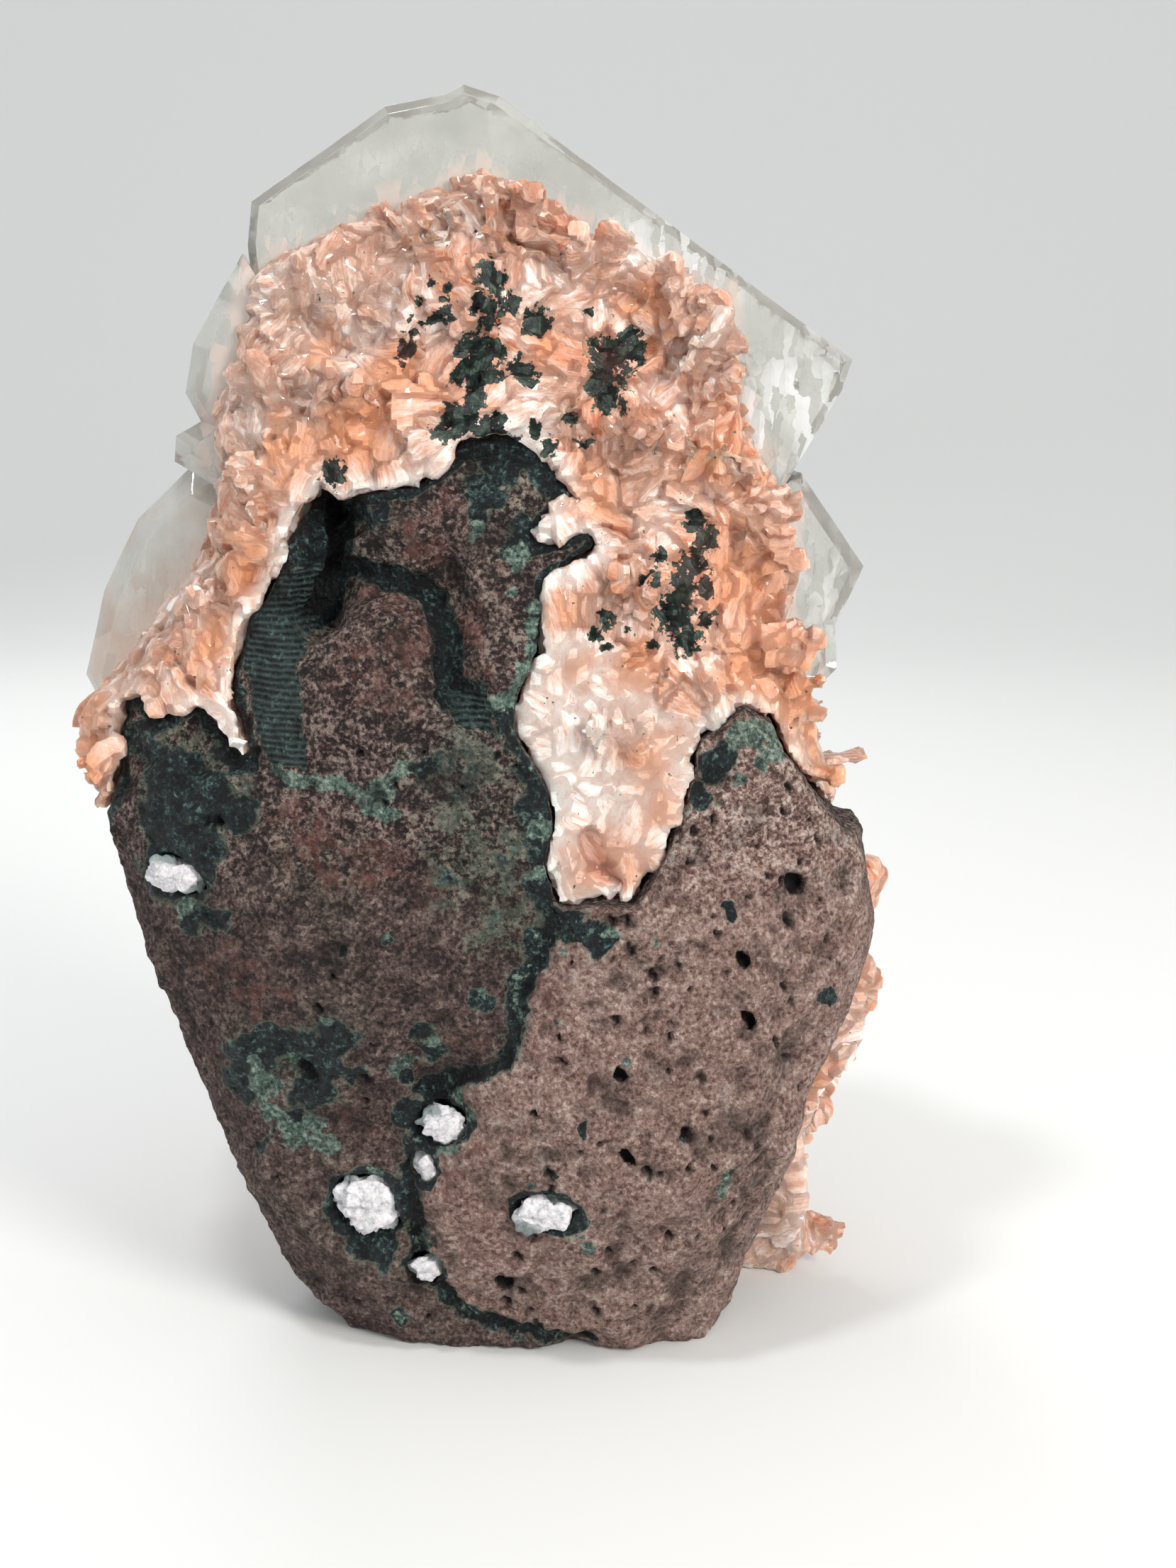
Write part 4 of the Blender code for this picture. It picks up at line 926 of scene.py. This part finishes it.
def crustMaterial():
    # heulandite, broken across its sheaves: translucent, waxy to pearly, peach to orange from fine iron
    # oxide, whiter where fine fibres start at the rock
    material, add, shader, mark = newMaterial(
        "heulandite, broken sheaves", "tone", "notch", "orange", "beige", "fringe", "island", "seam"
    )
    place = add("TexCoord").outputs["Object"]
    grain = add("Attribute", {"attribute_name": "grain"}).outputs["Vector"]
    clouds, zones, fine = [
        add("TexNoise", {"Scale": scale, "Detail": 4, "Roughness": rough, "Vector": place})
        for scale, rough in ((130, 0.6), (150, 0.6), (1300, 0.65))
    ]
    # streaks along each blade, 0.2 to 0.5 mm wide, and leaves 0.7 mm wide, both from its own grain direction
    streaks = add("TexNoise", {"Scale": 2.6, "Detail": 4, "Roughness": 0.6, "Vector": grain})
    leaves = add("TexVoronoi", {"Scale": 1.4, "Vector": grain})
    leaf = add("SeparateColor", {"Color": leaves.outputs["Color"]}).outputs["Red"]
    sugar = add("TexVoronoi", {"Scale": 2000, "Vector": place})
    sugar = add("SeparateColor", {"Color": sugar.outputs["Color"]}).outputs["Red"]
    # more sugar and fewer leaves in the whitened fringe
    sugarShare = add("Math MULTIPLY_ADD", {0: mark["fringe"], 1: 0.22, 2: 0.10})
    leafShare = add("Math MULTIPLY_ADD", {0: mark["fringe"], 1: -0.12, 2: 0.20})
    small = add("Math MULTIPLY", {0: sugar, 1: sugarShare})
    small = add("Math MULTIPLY_ADD", {0: leaf, 1: leafShare, 2: small})
    shade = add("Math MULTIPLY_ADD", {0: mark["tone"], 1: 0.16, 2: streaks})
    shade = add("Math ADD", {0: shade, 1: small})
    level = add("Math MULTIPLY_ADD", {0: clouds, 1: 0.9, 2: -0.66})
    shade = add("Math ADD", {0: shade, 1: level})
    peach = add("ValToRGB", {"Fac": shade, "stops": [
        (0.26, "#C2724C"), (0.39, "#D0906F"), (0.51, "#DBA78C"), (0.63, "#E3BDAB"), (0.80, "#F2E2DA"),
    ]})
    pale = add("ValToRGB", {"Fac": shade, "stops": [
        (0.26, "#B98871"), (0.40, "#C69C87"), (0.53, "#D2AF9D"), (0.66, "#E0C6B9"), (0.82, "#F4EAE5"),
    ]})
    inZone = add("MapRange SMOOTHSTEP", {"range": (0.43, 0.56, 0, 0.9), "Value": zones})
    isPale = add("Math MAXIMUM", {0: inZone, 1: mark["beige"]})
    inStreaks = add("MapRange", {"range": (0.35, 0.6, 0.35, 1), "Value": streaks})
    orange = add("Math MULTIPLY", {0: mark["orange"], 1: inStreaks})
    seam = add("Math MULTIPLY", {0: mark["seam"], 1: 0.30})
    white = add("MapRange SMOOTHSTEP", {"range": (0.36, 0.58, 0.45, 1), "Value": streaks})
    white = add("Math MULTIPLY", {0: mark["fringe"], 1: white})
    # islands of rock, redder where the crust is orange
    ragged = add("Math MULTIPLY_ADD", {0: fine, 1: 2.6, 2: -1.3})
    island = add("Math ADD", {0: mark["island"], 1: ragged})
    island = add("MapRange SMOOTHSTEP", {"range": (0.42, 0.54, 0, 1), "Value": island})
    dark = add("ValToRGB", {"Fac": fine, "stops": [
        (0.34, "#060A09"), (0.48, "#13211D"), (0.58, "#2A4037"), (0.70, "#56614F"),
    ]})
    redder = add("Math ADD", {"use_clamp": True, 0: mark["notch"], 1: orange})
    dark = add("Mix RGBA", {0: redder, 6: dark, 7: "#4E2E29"})
    # share and colour of each layer, from the lowest
    colour = peach
    for share, over in (
        (isPale, pale), (orange, "#E39B6E"), (mark["notch"], "#C4724A"), (seam, "#BE7453"), (white, "#F8EFE9"),
        (island, dark),
    ):
        colour = add("Mix RGBA", {0: share, 6: colour, 7: over})

    roughness = add("MapRange", {"range": (0.35, 0.65, 0.28, 0.55), "Value": streaks})
    inDepth = add("MapRange", {"range": (0, 1, 0.65, 0), "Value": island})
    coat = add("MapRange", {"range": (0, 1, 0.4, 0), "Value": island})
    height = add("Math MULTIPLY_ADD", {0: small, 1: 2, 2: streaks})
    height = add("Math MULTIPLY_ADD", {0: fine, 1: 0.5, 2: height})
    bump = add("Bump", {"Strength": 0.8, "Distance": 0.0005, "Height": height})
    setNode(shader, {
        "Base Color": colour, "Roughness": roughness, "IOR": 1.50, "Coat Weight": coat, "Coat Roughness": 0.08,
        "Subsurface Weight": inDepth, "Subsurface Radius": (1.0, 0.5, 0.32), "Subsurface Scale": 0.0014,
        "Normal": bump,
    })
    return material


def bladeMaterial():
    # heulandite tablets, grown free: pearly on their flat sides, paler towards the end
    material, add, shader, mark = newMaterial("heulandite, natural blades", "tone", "along")
    place = add("TexCoord").outputs["Object"]
    clouds, fine = [
        add("TexNoise", {"Scale": scale, "Detail": 4, "Roughness": 0.6, "Vector": place}) for scale in (130, 900)
    ]
    shade = add("Math MULTIPLY_ADD", {0: mark["tone"], 1: 0.30, 2: clouds})
    # deeper orange towards the root: painted shade where the blade sinks into the crust; paler towards the end
    shade = add("Math MULTIPLY_ADD", {0: mark["along"], 1: 0.26, 2: shade})
    colour = add("ValToRGB", {"Fac": shade, "stops": [
        (0.44, "#C47651"), (0.60, "#D09074"), (0.74, "#D9A792"), (0.88, "#E3C0B1"), (1, "#F0DDD5"),
    ]})
    bump = add("Bump", {"Strength": 0.35, "Distance": 0.0003, "Height": fine})
    setNode(shader, {
        "Base Color": colour, "Roughness": 0.28, "IOR": 1.50, "Coat Weight": 0.4, "Coat Roughness": 0.06,
        "Subsurface Weight": 0.6, "Subsurface Radius": (1.0, 0.5, 0.32), "Subsurface Scale": 0.0012,
        "Normal": bump,
    })
    return material


# clear crystals

clear = {
    "nodes": [
        "clear_crystals_top", "clear_crystal_left_shoulder", "clear_crystals_back_middle",
        "clear_crystals_back_lower", "clear_crystal_back_left",
    ],
    "edgeWear": 0.18,
    "longestEdge": 1.4,
    "sharpFrom": 20,  # degrees
    "waves": (0.05, 4.0),
    "milky": ((-36.0, 6.0, 66.0), (15.0, 14.0, 16.0)),  # middle and reach
    # whiter places full of cleavage cracks, partly their own milkiness and partly painted glints from the cracks:
    # middle, reach and strength
    "flaws": [
        ((23, 6, 83), (11, 12, 9), 1), ((12, 4, 95.5), (14, 9, 5.5), 0.7),
        ((24.5, 6.5, 67), (8, 10, 9), 0.6), ((-9, 6, 103.5), (10, 8, 3), 0.25),
        ((-20, 6, 98.5), (5, 8, 5), 0.3), ((-34, 10, 65), (6, 8, 11), 0.35),
        ((-5, 20, 60), (12, 11, 12), 0.5), ((10, 19, 37), (8, 8, 9), 0.5),
        ((-23, 19, 37), (6, 8, 8), 0.5),
    ],
}


def clearCrystal(node, crustSurface):
    piece = mergedCopy(node, node + "_glassy")
    bm = bmesh.new()
    bm.from_mesh(piece.data)
    bmesh.ops.dissolve_limit(bm, angle_limit=math.radians(1.5), verts=bm.verts[:], edges=bm.edges[:])
    sharp = [edge for edge in bm.edges if len(edge.link_faces) == 2 and edge.calc_face_angle() > math.radians(12)]
    bmesh.ops.bevel(
        bm, geom=sharp, offset=clear["edgeWear"] * mm, segments=2, profile=0.6, affect="EDGES", clamp_overlap=True
    )
    bmesh.ops.triangulate(bm, faces=bm.faces[:])
    for _ in range(6):
        long = [edge for edge in bm.edges if edge.calc_length() > clear["longestEdge"] * mm]
        if not long:
            break
        bmesh.ops.subdivide_edges(bm, edges=long, cuts=1)
        bmesh.ops.triangulate(bm, faces=bm.faces[:])
    bm.to_mesh(piece.data)
    bm.free()
    points, normals = pointsOf(piece.data), normalsOf(piece.data)
    height, size = clear["waves"]
    points += normals * (height * noiseAt(points, size, 3, 1.0))[:, None]
    setPoints(piece.data, points)
    slow = noiseAt(points, 3.0, 2, 8.0)
    middle, reach = clear["milky"]
    milky = 1 - smoothStep(0.6, 1.1, np.linalg.norm((points - middle) / reach, axis=1) + 0.2 * slow)
    flaws = np.zeros(len(points))
    for middle, reach, strength in clear["flaws"]:
        away = np.linalg.norm((points - middle) / reach, axis=1)
        flaws = np.maximum(flaws, (1 - smoothStep(0.4, 1.0, away + 0.25 * slow)) * strength)
    nearCrust = 1 - smoothStep(0.3, 3.4, distanceTo(crustSurface, points, 4.0))
    storeValues(piece.data, {"milky": milky, "flaws": flaws, "nearCrust": nearCrust})
    piece.data.shade_smooth()
    piece.data.set_sharp_from_angle(angle=math.radians(clear["sharpFrom"]))
    return piece


def clearMaterial():
    # colourless crystal with natural faces: glassy with faint growth lines, a little milky inside, frosted
    # where it touches the crust
    material, add, shader, mark = newMaterial("clear crystal, natural faces", "nearCrust", "flaws", "milky")
    place = add("TexCoord").outputs["Object"]
    milk = add("TexNoise", {"Scale": 140, "Detail": 5, "Roughness": 0.6, "Vector": place})
    fine = add("TexNoise", {"Scale": 700, "Detail": 4, "Vector": place})
    # blades of the crust that reach into the crystal
    long = add("Mapping", {"Rotation": (0, 0.35, 0), "Scale": (1, 1, 0.4), "Vector": place})
    ends = add("TexVoronoi", {"Scale": 1000, "Vector": long})
    oneEnd = add("SeparateColor", {"Color": ends.outputs["Color"]})
    reach = add("Math MULTIPLY_ADD", {0: oneEnd.outputs["Red"], 1: 0.8, 2: -0.4})
    reach = add("Math ADD", {0: reach, 1: mark["nearCrust"]})
    near = add("MapRange SMOOTHSTEP", {"range": (0.45, 1.05, 0, 0.75), "Value": reach})
    # cleavage steps, 1 to 3 mm, all in the crystal's own directions
    tilted = add("Mapping", {"Rotation": (0.5, 0.35, 0.95), "Scale": (1, 0.6, 0.32), "Vector": place})
    bend = add("Math MULTIPLY", {0: fine, 1: 0.0012})
    bent = add("VectorMath ADD", {0: tilted, 1: bend})
    steps = add("TexVoronoi", {"Scale": 1300, "Vector": bent})
    oneStep = add("SeparateColor", {"Color": steps.outputs["Color"]})
    # whiter over the cleavage cracks: partly their own milkiness, partly painted glints from the cracks' faces
    white = add("MapRange SMOOTHSTEP", {"range": (0.2, 0.9, 0, 1), "Value": oneStep.outputs["Red"]})
    white = add("Math MULTIPLY", {0: mark["flaws"], 1: white})
    clouds = add("TexNoise", {"Scale": 110, "Detail": 4, "Roughness": 0.6, "Vector": place})
    clouds = add("MapRange SMOOTHSTEP", {"range": (0.38, 0.62, 0, 0.8), "Value": clouds})
    peachy = add("Math MULTIPLY", {0: mark["milky"], 1: clouds})
    colour = "#DADBD5"
    for share, over in ((near, "#DCC6BB"), (peachy, "#DCC0AF"), (white, "#E4E7E9")):
        colour = add("Mix RGBA", {0: share, 6: colour, 7: over})

    clearness = add("MapRange", {"range": (0.4, 0.68, 0.80, 0.66), "Value": milk})
    for share, strength in ((near, 0.4), (white, 0.5), (mark["milky"], 0.38)):
        less = add("Math MULTIPLY", {0: share, 1: strength})
        clearness = add("Math SUBTRACT", {"use_clamp": True, 0: clearness, 1: less})
    roughness = add("MapRange", {"range": (0.38, 0.66, 0.04, 0.14), "Value": milk})
    height = add("Math MULTIPLY", {0: mark["flaws"], 1: oneStep.outputs["Green"]})
    height = add("Math MULTIPLY", {0: height, 1: 1.6})
    height = add("Math MULTIPLY_ADD", {0: fine, 1: 0.15, 2: height})
    bump = add("Bump", {"Strength": 0.6, "Distance": 0.0004, "Height": height})
    setNode(shader, {
        "Base Color": colour, "Roughness": roughness, "IOR": 1.53, "Transmission Weight": clearness, "Normal": bump,
    })
    inside = add("VolumeAbsorption", {"Color": "#D9DCD2", "Density": 10})
    setNode(material.node_tree.nodes["Material Output"], {"Volume": inside})
    return material


# the crust needs to know where the clear crystals are, so it is made only now

crustBody = makeCrust()
naturalBlades = bladeMaterial()
shapes = bladeShapes()
fanTree = bladeTree(shapes, naturalBlades)
for sizeName in ("large", "small"):
    finishPiece(growBlades(crustBody, "heulandite_blades_" + sizeName, fanTree, blades[sizeName]), [])
finishPiece(crustBody, ["heulandite_crust"], crustMaterial())
for shape in list(shapes.objects):
    bpy.data.objects.remove(shape)
bpy.data.collections.remove(shapes)

crustSurface = surfaceTree(["heulandite_crust"])
glassy = clearMaterial()
for node in clear["nodes"]:
    finishPiece(clearCrystal(node, crustSurface), [node], glassy)

# white zeolite in the bubbles

fillings = {
    "voxel": 0.17,
    "swell": 0.12,
    "tufts": (0.22, 1.1),  # height and size, mm
    "needles": (0.12, 0.4),
    "sunkRim": 0.4,
    "ragged": 0.55,
}


def makeFilling(node):
    piece = remeshedCopy(node, node + "_fibrous", fillings["voxel"], 4)
    points, normals = pointsOf(piece.data), normalsOf(piece.data)
    rise = np.full(len(points), fillings["swell"])
    for shift, name in enumerate(("tufts", "needles")):
        height, size = fillings[name]
        rise += height * noiseAt(points, size, 3, 4.0 + 7 * shift)
    ragged = [fillings["ragged"] * noiseAt(points, 1.1, 2, shift) for shift in (6, 16)]
    reach = fillingReach(points[:, 0], points[:, 2], fillingPlaces[node]) + 0.2 * noiseAt(points, 1.3, 3, 2.0)
    rise -= fillings["sunkRim"] * smoothStep(0.65, 1.0, reach) * smoothStep(0, 0.5, -normals[:, 1])
    points += normals * rise[:, None]
    points[:, 0] += ragged[0]
    points[:, 2] += ragged[1]
    setPoints(piece.data, points)
    storeValues(piece.data, {"rimOfFilling": smoothStep(0.88, 1.12, reach)})
    # the needles spread from the middle
    fromX, fromZ = points[:, 0] - fillingPlaces[node][0], points[:, 2] - fillingPlaces[node][1]
    turn, away = np.arctan2(fromZ, fromX), np.hypot(fromZ, fromX)
    storeGrain(piece.data, np.stack([away * 0.3, turn * 2.2, np.zeros(len(points))], axis=1))
    return piece


def whiteMaterial():
    # white zeolite: chalky tufts of very fine needles that spread from the middle, tinted green at the rim
    material, add, shader, mark = newMaterial("white zeolite, fine needles", "rimOfFilling")
    place = add("TexCoord").outputs["Object"]
    grain = add("Attribute", {"attribute_name": "grain"}).outputs["Vector"]
    needles = add("TexNoise", {"Scale": 2.4, "Detail": 5, "Roughness": 0.7, "Vector": grain})
    sugar = add("TexNoise", {"Scale": 1500, "Detail": 5, "Roughness": 0.7, "Vector": place})
    shade = add("Math MULTIPLY_ADD", {0: needles, 1: 0.5, 2: sugar})
    colour = add("ValToRGB", {"Fac": shade, "stops": [
        (0.50, "#858B8E"), (0.62, "#C3C3C7"), (0.74, "#E2E0E3"), (0.90, "#F8F6F8"),
    ]})
    rim = add("Math MULTIPLY", {0: mark["rimOfFilling"], 1: 0.75})
    colour = add("Mix RGBA", {0: rim, 6: colour, 7: "#4E6A66"})
    bump = add("Bump", {"Strength": 0.9, "Distance": 0.0004, "Height": shade})
    setNode(shader, {
        "Base Color": colour, "Roughness": 0.65, "Subsurface Weight": 0.2, "Subsurface Scale": 0.0005, "Normal": bump,
    })
    return material


whiteZeolite = whiteMaterial()
for node in fillingPlaces:
    finishPiece(makeFilling(node), [node], whiteZeolite)
